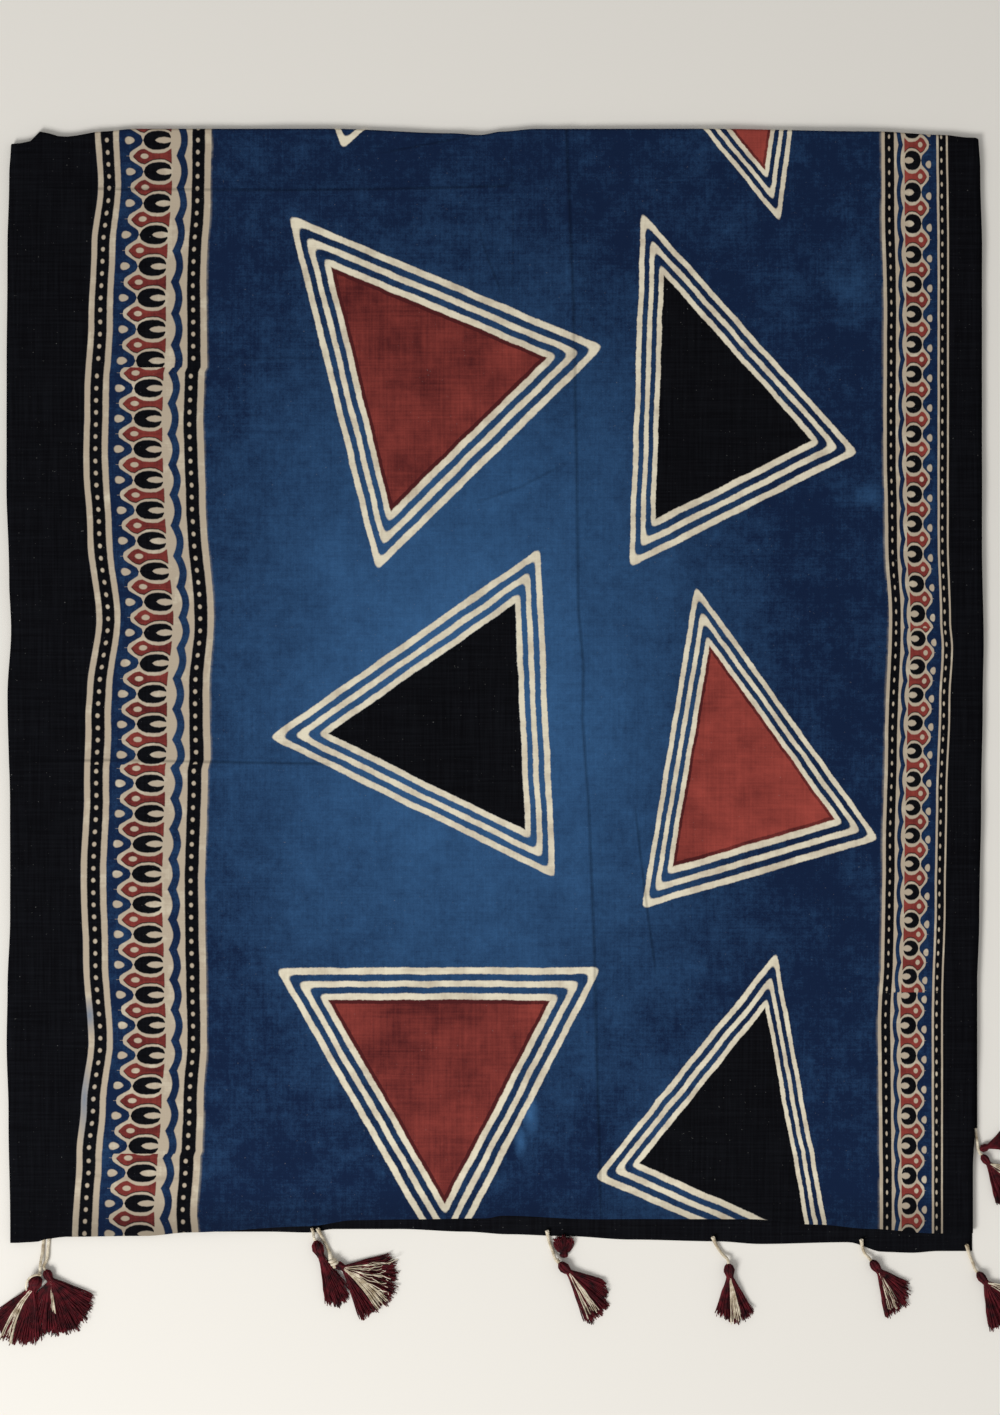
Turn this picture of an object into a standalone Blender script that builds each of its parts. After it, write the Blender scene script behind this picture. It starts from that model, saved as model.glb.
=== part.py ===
"""A printed ajrakh cloth, folded flat in four layers, with corded tassels at its two ends.

Metres, +Z up. The cloth's width runs along X and its folded length along Y, with the double
fold at +Y and the tasselled end at -Y. The origin is in the middle of the folded cloth, on the
surface that it rests on.
"""
import math

import bmesh
import bpy
from mathutils import Vector
from mathutils.geometry import intersect_point_line

COLLECTION_NAME = "ajrakh_cloth"

# The sheet and its layers. Layer 0 lies on the surface and layer 3 is the top one. The sheet
# runs from its lower hem along layer 0, round the outer fold, back along layer 3, round the
# lower fold, along layer 2, round the inner fold, and along layer 1 to its other hem.
SHEET = 0.0010
LAYER_GAP = 0.0010
LAYER_PITCH = SHEET + LAYER_GAP
OUTER_FOLD_RADIUS = LAYER_PITCH * 3 / 2
INNER_FOLD_RADIUS = LAYER_PITCH / 2
INNER_FOLD_INSET = 0.009
INNER_END_Y = -0.500
SAG = 0.0005
SAG_LENGTH = 0.060

# Where the folds and the lower hem run: x, y.
UPPER_FOLD = (
    (-0.550, 0.617), (-0.535, 0.619), (-0.524, 0.631), (-0.497, 0.625), (-0.453, 0.631),
    (-0.416, 0.634), (-0.189, 0.634), (-0.049, 0.629), (-0.017, 0.627), (0.008, 0.631),
    (0.047, 0.634), (0.232, 0.634), (0.436, 0.631), (0.510, 0.627), (0.547, 0.624),
)
LOWER_FOLD = (
    (-0.550, -0.630), (-0.518, -0.629), (-0.496, -0.625), (-0.473, -0.623), (-0.382, -0.622),
    (-0.336, -0.618), (-0.201, -0.612), (-0.147, -0.606), (-0.085, -0.605), (0.001, -0.604),
    (0.018, -0.601), (0.118, -0.605), (0.297, -0.605), (0.372, -0.611), (0.433, -0.615),
    (0.507, -0.619), (0.539, -0.619),
)
LOWER_HEM = (
    (-0.550, -0.614), (-0.382, -0.615), (-0.336, -0.618), (-0.246, -0.618), (-0.201, -0.619),
    (-0.172, -0.615), (-0.098, -0.615), (-0.024, -0.618), (0.025, -0.621), (0.088, -0.623),
    (0.164, -0.627), (0.260, -0.629), (0.309, -0.632), (0.408, -0.630), (0.448, -0.641),
    (0.482, -0.642), (0.511, -0.640), (0.541, -0.640),
)

# Where the top layer's selvedges run: y, x. The other layers' selvedges are straight.
TOP_LEFT = (
    (-0.625, -0.550), (-0.483, -0.552), (-0.401, -0.554), (-0.341, -0.553), (-0.259, -0.550),
    (-0.138, -0.550), (-0.009, -0.553), (0.065, -0.549), (0.122, -0.551), (0.231, -0.554),
    (0.365, -0.554), (0.500, -0.553), (0.578, -0.551), (0.617, -0.549),
)
TOP_RIGHT = (
    (-0.625, 0.541), (-0.543, 0.541), (-0.499, 0.543), (-0.357, 0.545), (-0.259, 0.548),
    (-0.138, 0.550), (-0.016, 0.552), (0.052, 0.553), (0.155, 0.551), (0.496, 0.551),
    (0.586, 0.549), (0.624, 0.547),
)
LOWER_LAYER_LEFT = (-0.548, -0.548, -0.548)
LOWER_LAYER_RIGHT = (0.5412, 0.5466, 0.5400)

# Pressed creases of the top layer: height, half width, then the points x, y that each follows.
CREASES = (
    (0.0014, 0.011, ((0.080, 0.632), (0.088, 0.438), (0.091, 0.268), (0.095, 0.040),
                     (0.105, -0.130), (0.111, -0.300), (0.118, -0.604))),
    (0.0010, 0.012, ((-0.524, 0.564), (-0.250, 0.562), (0.027, 0.566))),
    (0.0010, 0.012, ((-0.550, -0.084), (-0.320, -0.085), (-0.183, -0.086))),
    (0.0008, 0.014, ((0.157, -0.133), (0.182, -0.328))),
)

# Broad unevenness of the layers: height, waves per metre along x and y, and phase.
ROLLS = (
    (0.00035, 1.7, 0.9, 0.4),
    (0.00030, -0.8, 2.1, 1.9),
    (0.00020, 2.6, -1.4, 3.1),
)
ROLL_SHARES = (0.0, 0.35, 0.7, 1.0)

# The sheet's grid: stations across it, and rows along each layer and round each fold.
EVEN_COLUMNS = 20
CREASE_COLUMNS = (0.562, 0.574, 0.586, 0.598, 0.612)
CREASE_ROWS = (0.425, 0.435, 0.445, 0.938, 0.948, 0.958)
LAYER_ROWS = (14, 10, 10, 17)
OUTER_FOLD_STEPS = 7
INNER_FOLD_STEPS = 5

# The cords: name, the tassel that each ends at, then x, y, z and thickness factor at each point
# before it reaches the tassel's head. Most start at a knot on the lower hem.
CORD_RADIUS = 0.0018
CLEAR = 0.0003
ON_HEM = SHEET + CLEAR + CORD_RADIUS
KNOT = 1.4
KNOT_ON_HEM = SHEET + CLEAR + CORD_RADIUS * KNOT
INNER_HEM_HEIGHT = LAYER_PITCH + SHEET / 2 + 0.0002
CORD_APPROACH = 0.004
CORDS = (
    ("1a", "1a", ((-0.5125, -0.6147, CORD_RADIUS, 1.0), (-0.5140, -0.6380, CORD_RADIUS * 1.15, 1.0),
                  (-0.5160, -0.6550, CORD_RADIUS * 4, 1.0))),
    ("1b", "1b", ((-0.5065, -0.6147, CORD_RADIUS, 1.0), (-0.5080, -0.6370, CORD_RADIUS * 1.15, 1.0),
                  (-0.5095, -0.6500, CORD_RADIUS * 2.0, 1.0))),
    ("2a", "2a", ((-0.2085, -0.6135, ON_HEM, 1.0), (-0.2065, -0.6205, ON_HEM + CLEAR, 1.0))),
    ("2b", "2b", ((-0.2018, -0.6140, KNOT_ON_HEM, KNOT), (-0.1983, -0.6210, ON_HEM, 1.0),
                  (-0.1892, -0.6400, CORD_RADIUS * 1.3, 1.0),
                  (-0.1868, -0.6482, CORD_RADIUS * 2.2, 1.8))),
    ("3", "3a", ((0.0585, -0.6165, KNOT_ON_HEM, KNOT), (0.0600, -0.6250, ON_HEM, 1.0),
                 (0.0645, -0.6390, CORD_RADIUS * 1.3, 1.0))),
    ("4", "4", ((0.2465, -0.6235, KNOT_ON_HEM, KNOT), (0.2500, -0.6320, ON_HEM, 1.0),
                (0.2575, -0.6430, CORD_RADIUS * 1.6, 1.0))),
    ("5", "5", ((0.4150, -0.6265, KNOT_ON_HEM, KNOT), (0.4165, -0.6360, ON_HEM, 1.0),
                (0.4195, -0.6430, CORD_RADIUS * 2, 1.0))),
    ("6", "6", ((0.5345, -0.6325, KNOT_ON_HEM, KNOT), (0.5375, -0.6430, ON_HEM, 1.0),
                (0.5420, -0.6540, CORD_RADIUS * 1.4, 1.0))),
    ("7", "7b", ((0.5446, -0.5007, INNER_HEM_HEIGHT, 1.0), (0.5462, -0.5150, CORD_RADIUS * 2, 1.0))),
)

# The tassels: name, head centre x and y, head length and width, the angles between which the
# skirt fans out (0 points down the page, 90 to the right), its length, how much longer its first
# side is than its middle, as a share, and its locks.
TASSELS = (
    ("1a", -0.5216, -0.6745, 0.0170, 0.0160, -52, 4, 0.073, 0.00, 12),
    ("1b", -0.5075, -0.6665, 0.0130, 0.0100, -6, 62, 0.068, 0.08, 13),
    ("2a", -0.2012, -0.6358, 0.0180, 0.0130, 9, 32, 0.069, 0.00, 6),
    ("2b", -0.1768, -0.6560, 0.0100, 0.0090, 24, 100, 0.069, 0.04, 12),
    ("3a", 0.0780, -0.6580, 0.0160, 0.0110, 24, 70, 0.064, 0.17, 9),
    ("3b", 0.0775, -0.6432, 0.0060, 0.0090, 150, 212, 0.019, 0.00, 6),
    ("4", 0.2648, -0.6610, 0.0150, 0.0120, -14, 27, 0.0585, -0.06, 8),
    ("5", 0.4305, -0.6560, 0.0150, 0.0100, 13, 62, 0.054, 0.17, 9),
    ("6", 0.5515, -0.6695, 0.0160, 0.0090, 11, 66, 0.060, 0.06, 9),
    ("7a", 0.5545, -0.5222, 0.0100, 0.0080, 88, 132, 0.054, 0.00, 8),
    ("7b", 0.5555, -0.5355, 0.0130, 0.0080, 18, 58, 0.057, 0.00, 7),
)
HEAD_SIDES = 10
HEAD_RINGS = 6

# The locks start inside the head, reach the surface at their knee, and lie level to their tips.
LOCK_ROOT_RADIUS = 0.0012
LOCK_ROOT_FORWARD = 0.22
LOCK_ROOT_HEIGHT = 0.8
LOCK_KNEE = 0.42
LOCK_FILL = 0.36
LOCK_RADIUS_LIMIT = 0.0026
OUTER_LOCK_SHORTENING = 0.10
SECOND_LOCK_SHORTENING = 0.04
WELD = 0.00001

# Linear colours, with roughness.
INDIGO = (0.012, 0.045, 0.160, 1.0)
CREAM = (0.640, 0.520, 0.360, 1.0)
MAROON = (0.080, 0.008, 0.016, 1.0)
CLOTH_ROUGHNESS = 0.92
YARN_ROUGHNESS = 0.75


def clear_scene():
    for scene_object in list(bpy.data.objects):
        bpy.data.objects.remove(scene_object)


def make_material(name, colour, roughness):
    material = bpy.data.materials.new(name)
    material.use_nodes = True
    shader = material.node_tree.nodes["Principled BSDF"]
    shader.inputs["Base Color"].default_value = colour
    shader.inputs["Roughness"].default_value = roughness
    shader.inputs["Metallic"].default_value = 0.0
    return material


def add_object(name, data, material, collection):
    scene_object = bpy.data.objects.new(name, data)
    collection.objects.link(scene_object)
    data.materials.append(material)
    return scene_object


def table_value(table, position):
    """The second column of a two-column table at one value of its first, eased between rows."""
    if position <= table[0][0]:
        return table[0][1]
    for (start, first), (end, second) in zip(table, table[1:]):
        if position <= end:
            share = (position - start) / (end - start)
            return first + (second - first) * share * share * (3 - 2 * share)
    return table[-1][1]


def crease_height(x, y):
    """How far the pressed creases raise the top layer at one point."""
    point = Vector((x, y, 0))
    height = 0
    for crest, half_width, route in CREASES:
        distance = math.inf
        for start, end in zip(route, route[1:]):
            start_point = Vector((*start, 0))
            end_point = Vector((*end, 0))
            share = intersect_point_line(point, start_point, end_point)[1]
            nearest = start_point.lerp(end_point, min(max(share, 0), 1))
            distance = min(distance, (point - nearest).length)
        height += crest * math.exp(-(distance / half_width) ** 2)
    return height


def roll_height(x, y):
    """The broad unevenness that the layers share, never below zero."""
    height = 0
    for crest, along_x, along_y, phase in ROLLS:
        height += crest * (1 + math.sin(math.tau * (along_x * x + along_y * y) + phase))
    return height


def sag_depth(y):
    """How far the two upper layers settle past the end of layer 1."""
    share = min(max((INNER_END_Y - y) / SAG_LENGTH, 0), 1)
    return SAG * share * share * (3 - 2 * share)


def layer_height(layer, x, y):
    """Height of the middle of the sheet in one layer; a fold gives a layer between two."""
    below = int(min(layer, 2))
    share = layer - below
    roll = ROLL_SHARES[below] * (1 - share) + ROLL_SHARES[below + 1] * share
    upper = min(max(layer - 1, 0), 1)
    crease = crease_height(x, y) * min(max(layer - 2, 0), 1)
    return SHEET / 2 + layer * LAYER_PITCH + roll * roll_height(x, y) + crease - upper * sag_depth(y)


def layer_edges(layer, y):
    """The x of the left and right selvedges in one layer."""
    if layer >= 3:
        return table_value(TOP_LEFT, y), table_value(TOP_RIGHT, y)
    below = int(layer)
    share = layer - below
    left = LOWER_LAYER_LEFT[below]
    right = LOWER_LAYER_RIGHT[below]
    if share > 0:
        next_left, next_right = layer_edges(below + 1, y)
        left += (next_left - left) * share
        right += (next_right - right) * share
    return left, right


def run_stations(layer, start_y, end_y, shares):
    return [(layer, start_y + (end_y - start_y) * share) for share in shares]


def fold_stations(from_layer, to_layer, fold_y, toward, steps):
    """A half turn between two layers, whose outer face reaches fold_y on the side toward."""
    radius = abs(to_layer - from_layer) * LAYER_PITCH / 2
    middle = (from_layer + to_layer) / 2
    half = (to_layer - from_layer) / 2
    centre_y = fold_y - toward * (radius + SHEET / 2)
    stations = []
    for step in range(1, steps):
        angle = math.pi * (step / steps - 0.5)
        stations.append((middle + half * math.sin(angle), centre_y + toward * radius * math.cos(angle)))
    return stations


def even_shares(rows):
    return [row / (rows - 1) for row in range(rows)]


def section_stations(x):
    """The layer and y of each station of the sheet at one x, from its lower hem to the other."""
    outer_y = table_value(UPPER_FOLD, x)
    lower_y = table_value(LOWER_FOLD, x)
    inner_y = outer_y - INNER_FOLD_INSET
    outer_run = outer_y - OUTER_FOLD_RADIUS - SHEET / 2
    lower_run = lower_y + INNER_FOLD_RADIUS + SHEET / 2
    inner_run = inner_y - INNER_FOLD_RADIUS - SHEET / 2
    top_shares = sorted(even_shares(LAYER_ROWS[3]) + [1 - share for share in CREASE_ROWS])
    stations = run_stations(0, table_value(LOWER_HEM, x), outer_run, even_shares(LAYER_ROWS[0]))
    stations += fold_stations(0, 3, outer_y, 1, OUTER_FOLD_STEPS)
    stations += run_stations(3, outer_run, lower_run, top_shares)
    stations += fold_stations(3, 2, lower_y, -1, INNER_FOLD_STEPS)
    stations += run_stations(2, lower_run, inner_run, even_shares(LAYER_ROWS[2]))
    stations += fold_stations(2, 1, inner_y, 1, INNER_FOLD_STEPS)
    stations += run_stations(1, inner_run, INNER_END_Y, even_shares(LAYER_ROWS[1]))
    return stations


def column_shares():
    return sorted(even_shares(EVEN_COLUMNS + 1) + list(CREASE_COLUMNS))


def make_cloth(collection, material):
    """The folded sheet: a grid whose rows follow the fold, thickened to the sheet's thickness."""
    columns = column_shares()
    middle_left, middle_right = layer_edges(3, 0)
    sections = []
    for share in columns:
        sections.append(section_stations(middle_left + (middle_right - middle_left) * share))
    rows = len(sections[0])
    grid = bmesh.new()
    bmesh.ops.create_grid(grid, x_segments=len(columns) - 1, y_segments=rows - 1, size=0.5)
    for vertex in grid.verts:
        column = round((vertex.co.x + 0.5) * (len(columns) - 1))
        row = round((vertex.co.y + 0.5) * (rows - 1))
        layer, y = sections[column][row]
        left, right = layer_edges(layer, y)
        x = left + (right - left) * columns[column]
        vertex.co = (x, y, layer_height(layer, x, y))
    bmesh.ops.recalc_face_normals(grid, faces=grid.faces)
    mesh = bpy.data.meshes.new("ajrakh_cloth")
    grid.to_mesh(mesh)
    grid.free()
    cloth = add_object("ajrakh_cloth", mesh, material, collection)
    thickness = cloth.modifiers.new("Sheet thickness", "SOLIDIFY")
    thickness.thickness = SHEET
    thickness.offset = 0
    thickness.use_even_offset = True
    return cloth


def page_direction(degrees):
    """A level direction: 0 points down the page, along -Y, and 90 along +X."""
    angle = math.radians(degrees)
    return Vector((math.sin(angle), -math.cos(angle), 0))


def cord_end(tassel_name):
    """The last two points of a cord, which meets the middle of its tassel's head end on."""
    row = next(row for row in TASSELS if row[0] == tassel_name)
    name, x, y, head_length, head_width, first, last = row[:7]
    axis = page_direction((first + last) / 2)
    end = Vector((x, y, head_width / 2)) - axis * (head_length / 2 + CLEAR)
    approach = end - axis * CORD_APPROACH
    return [(*approach, 1.0), (*end, 1.0)]


def make_cord(name, tassel_name, route, collection, material):
    """One cream cord from its knot at the hem to its tassel."""
    curve = bpy.data.curves.new("tassel_cord_" + name, "CURVE")
    curve.dimensions = "3D"
    curve.bevel_depth = CORD_RADIUS
    curve.bevel_resolution = 1
    curve.resolution_u = 3
    curve.use_fill_caps = True
    stations = list(route) + cord_end(tassel_name)
    spline = curve.splines.new("BEZIER")
    spline.bezier_points.add(len(stations) - 1)
    for point, (x, y, z, factor) in zip(spline.bezier_points, stations):
        point.co = (x, y, z)
        point.radius = factor
        point.handle_left_type = "AUTO"
        point.handle_right_type = "AUTO"
    return add_object("tassel_cord_" + name, curve, material, collection)


def lock_length(length, lean, share, index):
    """The outer locks of a skirt are shorter, and so is every second one; one side is longer."""
    outer = OUTER_LOCK_SHORTENING * abs(2 * share - 1)
    second = SECOND_LOCK_SHORTENING * (index % 2)
    return length * (1 + lean * (1 - 2 * share) - outer - second)


def add_lock(curve, root, direction, length, root_height, tip_radius):
    """One lock: out of the head, down to the surface, and level along it to its tip."""
    knee_radius = (LOCK_ROOT_RADIUS + tip_radius) / 2
    stations = (
        (0.0, root_height, LOCK_ROOT_RADIUS),
        (LOCK_KNEE * length, knee_radius, knee_radius),
        (length, tip_radius, tip_radius),
    )
    spline = curve.splines.new("POLY")
    spline.points.add(len(stations) - 1)
    for point, (distance, height, radius) in zip(spline.points, stations):
        place = root + direction * distance
        point.co = (place.x, place.y, height, 1)
        point.radius = radius


def make_locks(row, root, root_height):
    """The skirt's locks as one mesh of separate closed bodies, from a beveled curve."""
    name, x, y, head_length, head_width, first, last, length, lean, locks = row
    curve = bpy.data.curves.new(name + "_locks", "CURVE")
    curve.dimensions = "3D"
    curve.twist_mode = "Z_UP"
    curve.bevel_depth = 1
    curve.bevel_resolution = 0
    curve.use_fill_caps = True
    spacing = math.radians(abs(last - first)) * length / (locks - 1)
    tip_radius = min(spacing * LOCK_FILL, LOCK_RADIUS_LIMIT)
    for index in range(locks):
        share = index / (locks - 1)
        direction = page_direction(first + (last - first) * share)
        own_length = lock_length(length, lean, share, index)
        add_lock(curve, root, direction, own_length, root_height, tip_radius)
    shaped = bpy.data.objects.new(name + "_shaped_locks", curve)
    bpy.context.scene.collection.objects.link(shaped)
    evaluated = shaped.evaluated_get(bpy.context.evaluated_depsgraph_get())
    mesh = bpy.data.meshes.new_from_object(evaluated)
    bpy.data.objects.remove(shaped)
    welded = bmesh.new()
    welded.from_mesh(mesh)
    bmesh.ops.remove_doubles(welded, verts=welded.verts, dist=WELD)
    welded.to_mesh(mesh)
    welded.free()
    return mesh


def make_tassel(row, collection, cutters, material):
    """One tassel: a wound head lying on the surface, with its locks fused to it."""
    name, x, y, head_length, head_width, first, last = row[:7]
    axis = page_direction((first + last) / 2)
    middle_height = head_width / 2
    bpy.ops.mesh.primitive_uv_sphere_add(segments=HEAD_SIDES, ring_count=HEAD_RINGS, radius=0.5)
    head = bpy.context.object
    head.name = "tassel_" + name
    head.data.name = "tassel_" + name
    head.location = (x, y, middle_height)
    head.rotation_euler = (0, 0, math.atan2(axis.y, axis.x))
    head.scale = (head_length, head_width, head_width)
    for old_collection in list(head.users_collection):
        old_collection.objects.unlink(head)
    collection.objects.link(head)
    head.data.materials.append(material)
    root = Vector((x, y, 0)) + axis * head_length * LOCK_ROOT_FORWARD
    root_height = middle_height * LOCK_ROOT_HEIGHT
    lock_mesh = make_locks(row, root, root_height)
    skirt = bpy.data.objects.new("skirt_" + name, lock_mesh)
    cutters.objects.link(skirt)
    skirt.hide_render = True
    skirt.display_type = "WIRE"
    union = head.modifiers.new("Locks fused to the head", "BOOLEAN")
    union.operation = "UNION"
    union.solver = "EXACT"
    union.use_self = True
    union.object = skirt
    return head


def main():
    clear_scene()
    collection = bpy.data.collections.new(COLLECTION_NAME)
    cutters = bpy.data.collections.new("skirts_to_fuse")
    bpy.context.scene.collection.children.link(collection)
    bpy.context.scene.collection.children.link(cutters)
    indigo = make_material("printed_cotton", INDIGO, CLOTH_ROUGHNESS)
    cream = make_material("cream_cord", CREAM, YARN_ROUGHNESS)
    maroon = make_material("maroon_yarn", MAROON, YARN_ROUGHNESS)
    make_cloth(collection, indigo)
    for name, tassel_name, route in CORDS:
        make_cord(name, tassel_name, route, collection, cream)
    for row in TASSELS:
        make_tassel(row, collection, cutters, maroon)


main()
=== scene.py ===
"""A printed ajrakh cloth, folded flat in four layers, with corded tassels at its two ends.

Metres, +Z up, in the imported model's frame: the cloth's width runs along X, its folded length
along Y, and it lies on the surface at z 0.
"""
import math
from collections import namedtuple
from functools import reduce

import bmesh
import bpy
import numpy as np
from mathutils import Matrix, Vector


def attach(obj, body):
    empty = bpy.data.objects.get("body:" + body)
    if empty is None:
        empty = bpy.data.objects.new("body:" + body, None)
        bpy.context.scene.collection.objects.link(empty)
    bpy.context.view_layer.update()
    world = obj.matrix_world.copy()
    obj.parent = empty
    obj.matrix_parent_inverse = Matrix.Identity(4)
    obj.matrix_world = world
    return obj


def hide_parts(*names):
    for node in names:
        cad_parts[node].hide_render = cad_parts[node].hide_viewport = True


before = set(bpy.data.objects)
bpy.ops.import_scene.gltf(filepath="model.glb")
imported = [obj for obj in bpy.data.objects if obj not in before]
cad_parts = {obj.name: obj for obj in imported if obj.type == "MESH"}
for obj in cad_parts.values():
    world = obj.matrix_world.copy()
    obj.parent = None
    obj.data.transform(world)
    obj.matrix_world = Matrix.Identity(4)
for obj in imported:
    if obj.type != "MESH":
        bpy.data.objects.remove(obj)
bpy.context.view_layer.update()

# The print is set out on a chart seen from above, with its columns from the left and its rows
# from the top. One step of the chart, in metres, and the chart's place of the frame's origin.
STEP = 1.10 / 968
ORIGIN_COLUMN = 496
ORIGIN_ROW = 686

# The folded sheet, as in the part's source: layer 0 lies on the surface, layer 3 is on top.
SHEET = 0.0010
LAYER_PITCH = 0.0020
OUTER_FOLD_RADIUS = LAYER_PITCH * 3 / 2
INNER_FOLD_RADIUS = LAYER_PITCH / 2
INNER_FOLD_INSET = 0.009
INNER_END_Y = -0.500
SAG = 0.0005
SAG_LENGTH = 0.060
CLOTH_THICKNESS = 0.0005

# Where the folds and the lower hem run: x, y.
UPPER_FOLD = (
    (-0.550, 0.617), (-0.535, 0.619), (-0.524, 0.631), (-0.497, 0.625), (-0.453, 0.631),
    (-0.416, 0.634), (-0.189, 0.634), (-0.049, 0.629), (-0.017, 0.627), (0.008, 0.631),
    (0.047, 0.634), (0.232, 0.634), (0.436, 0.631), (0.510, 0.627), (0.547, 0.624),
)
LOWER_FOLD = (
    (-0.550, -0.630), (-0.518, -0.629), (-0.496, -0.625), (-0.473, -0.623), (-0.382, -0.622),
    (-0.336, -0.618), (-0.201, -0.611), (-0.147, -0.604), (-0.085, -0.603), (0.001, -0.602),
    (0.018, -0.599), (0.118, -0.603), (0.297, -0.603), (0.372, -0.609), (0.433, -0.614),
    (0.507, -0.619), (0.539, -0.619),
)
LOWER_HEM = (
    (-0.550, -0.614), (-0.382, -0.615), (-0.336, -0.618), (-0.246, -0.618), (-0.201, -0.619),
    (-0.172, -0.615), (-0.098, -0.615), (-0.024, -0.618), (0.025, -0.621), (0.088, -0.623),
    (0.164, -0.627), (0.260, -0.629), (0.309, -0.632), (0.408, -0.630), (0.448, -0.641),
    (0.482, -0.642), (0.511, -0.640), (0.541, -0.640),
)

# Where the top layer's selvedges run: y, x. The other layers' selvedges are straight.
TOP_LEFT = (
    (-0.625, -0.550), (-0.483, -0.552), (-0.401, -0.554), (-0.341, -0.553), (-0.259, -0.550),
    (-0.138, -0.550), (-0.009, -0.553), (0.065, -0.549), (0.122, -0.551), (0.231, -0.554),
    (0.365, -0.554), (0.500, -0.553), (0.578, -0.551), (0.617, -0.549),
)
TOP_RIGHT = (
    (-0.625, 0.541), (-0.543, 0.541), (-0.499, 0.543), (-0.357, 0.545), (-0.259, 0.548),
    (-0.138, 0.550), (-0.016, 0.552), (0.052, 0.553), (0.155, 0.551), (0.496, 0.551),
    (0.586, 0.549), (0.624, 0.547),
)
LOWER_LAYER_LEFT = (-0.548, -0.548, -0.548)
LOWER_LAYER_RIGHT = (0.5412, 0.5466, 0.5400)

# Where the printed borders' lines run on the chart: row, column.
LEFT_OUTER_LINE = (
    (130, 96.5), (186, 99.7), (245, 93), (322, 89.9), (390, 86.2), (460, 85), (539, 89.2),
    (618, 97.9), (688, 88.8), (716, 87.1), (790, 85.7), (874, 82.2), (955, 84.6), (1039, 89.9),
    (1102, 82.4), (1152, 78), (1236, 73.6),
)
LEFT_INNER_LINE = (
    (130, 213), (193, 212), (278, 207.7), (366, 208.7), (372, 206), (418, 204.9), (502, 207.3),
    (618, 215.3), (688, 210.8), (760, 212.2), (766, 209.4), (888, 206.6), (1039, 208.4),
    (1095, 205.2), (1148, 204), (1154, 201.7), (1208, 198.6), (1236, 200.3),
)
RIGHT_INNER_LINE = (
    (130, 880.6), (200, 880.6), (320, 882.9), (432, 882.4), (539, 884.1), (618, 888),
    (740, 884.1), (852, 881.7), (959, 880.3), (1009, 877), (1222, 879),
)
RIGHT_OUTER_LINE = (
    (130, 946.8), (250, 948), (539, 947.7), (619, 950), (645, 952), (700, 949.5), (796, 946.3),
    (908, 944.6), (996, 942), (1228, 942),
)

# Pressed creases of the top layer: height, half width, then the points x, y that each follows.
CREASES = (
    (0.0014, 0.011, ((0.080, 0.632), (0.088, 0.438), (0.091, 0.268), (0.095, 0.040),
                     (0.105, -0.130), (0.111, -0.300), (0.118, -0.604))),
    (0.0010, 0.012, ((-0.524, 0.564), (-0.250, 0.562), (0.027, 0.566))),
    (0.0010, 0.012, ((-0.550, -0.084), (-0.320, -0.085), (-0.183, -0.086))),
    (0.0008, 0.014, ((0.157, -0.133), (0.182, -0.328))),
)

# Broad unevenness of the layers: height, waves per metre along x and y, and phase.
ROLLS = (
    (0.00035, 1.7, 0.9, 0.4),
    (0.00030, -0.8, 2.1, 1.9),
    (0.00020, 2.6, -1.4, 3.1),
)
ROLL_SHARES = (0.0, 0.35, 0.7, 1.0)

# Finer unevenness of the thin top layer alone, in the same terms, and its lighter pressed folds.
RIPPLES = (
    (0.00028, 8.3, 3.1, 0.7),
    (0.00024, -4.7, 10.9, 2.2),
    (0.00018, 13.7, -7.9, 4.0),
)
LIGHT_FOLDS = (
    (0.0007, 0.0065, ((-0.134, 0.603), (-0.075, 0.613), (-0.012, 0.627))),
    (0.0007, 0.0065, ((-0.023, 0.527), (-0.008, 0.486), (0.013, 0.430))),
    (0.0006, 0.0070, ((-0.032, 0.206), (0.027, 0.226), (0.086, 0.257))),
    (0.0005, 0.0070, ((-0.336, 0.374), (-0.182, 0.372))),
)

# The sheet's grid: columns in each strip between its printed lines, and rows along each layer
# and round each fold.
STRIP_COLUMNS = (9, 15, 128, 9, 5)
LAYER_ROWS = (24, 12, 12, 206)
OUTER_FOLD_STEPS = 12
INNER_FOLD_STEPS = 8

# The flat cut of the sheet, and the black bands at its ends.
END_BAND = 0.055


def table_values(table, positions):
    """The second column of a two-column table at values of its first, eased between rows."""
    first = np.array([row[0] for row in table])
    second = np.array([row[1] for row in table])
    below = np.clip(np.searchsorted(first, positions, side="right") - 1, 0, len(first) - 2)
    share = np.clip((positions - first[below]) / (first[below + 1] - first[below]), 0, 1)
    eased = share * share * (3 - 2 * share)
    return second[below] + (second[below + 1] - second[below]) * eased


def printed_line(table, y):
    """The x of one of the borders' printed lines at each y."""
    return (table_values(table, ORIGIN_ROW - y / STEP) - ORIGIN_COLUMN) * STEP


def crease_height(x, y, creases):
    """How far pressed creases raise the top layer."""
    height = np.zeros_like(x)
    for crest, half_width, route in creases:
        nearest = np.full_like(x, np.inf)
        for (start_x, start_y), (end_x, end_y) in zip(route, route[1:]):
            along_x = end_x - start_x
            along_y = end_y - start_y
            share = ((x - start_x) * along_x + (y - start_y) * along_y) / (along_x**2 + along_y**2)
            share = np.clip(share, 0, 1)
            away = np.hypot(x - start_x - share * along_x, y - start_y - share * along_y)
            nearest = np.minimum(nearest, away)
        height += crest * np.exp(-(nearest / half_width) ** 2)
    return height


def roll_height(x, y, rolls):
    """The height of a few crossing waves, never below zero."""
    height = np.zeros_like(x)
    for crest, along_x, along_y, phase in rolls:
        height += crest * (1 + np.sin(math.tau * (along_x * x + along_y * y) + phase))
    return height


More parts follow.
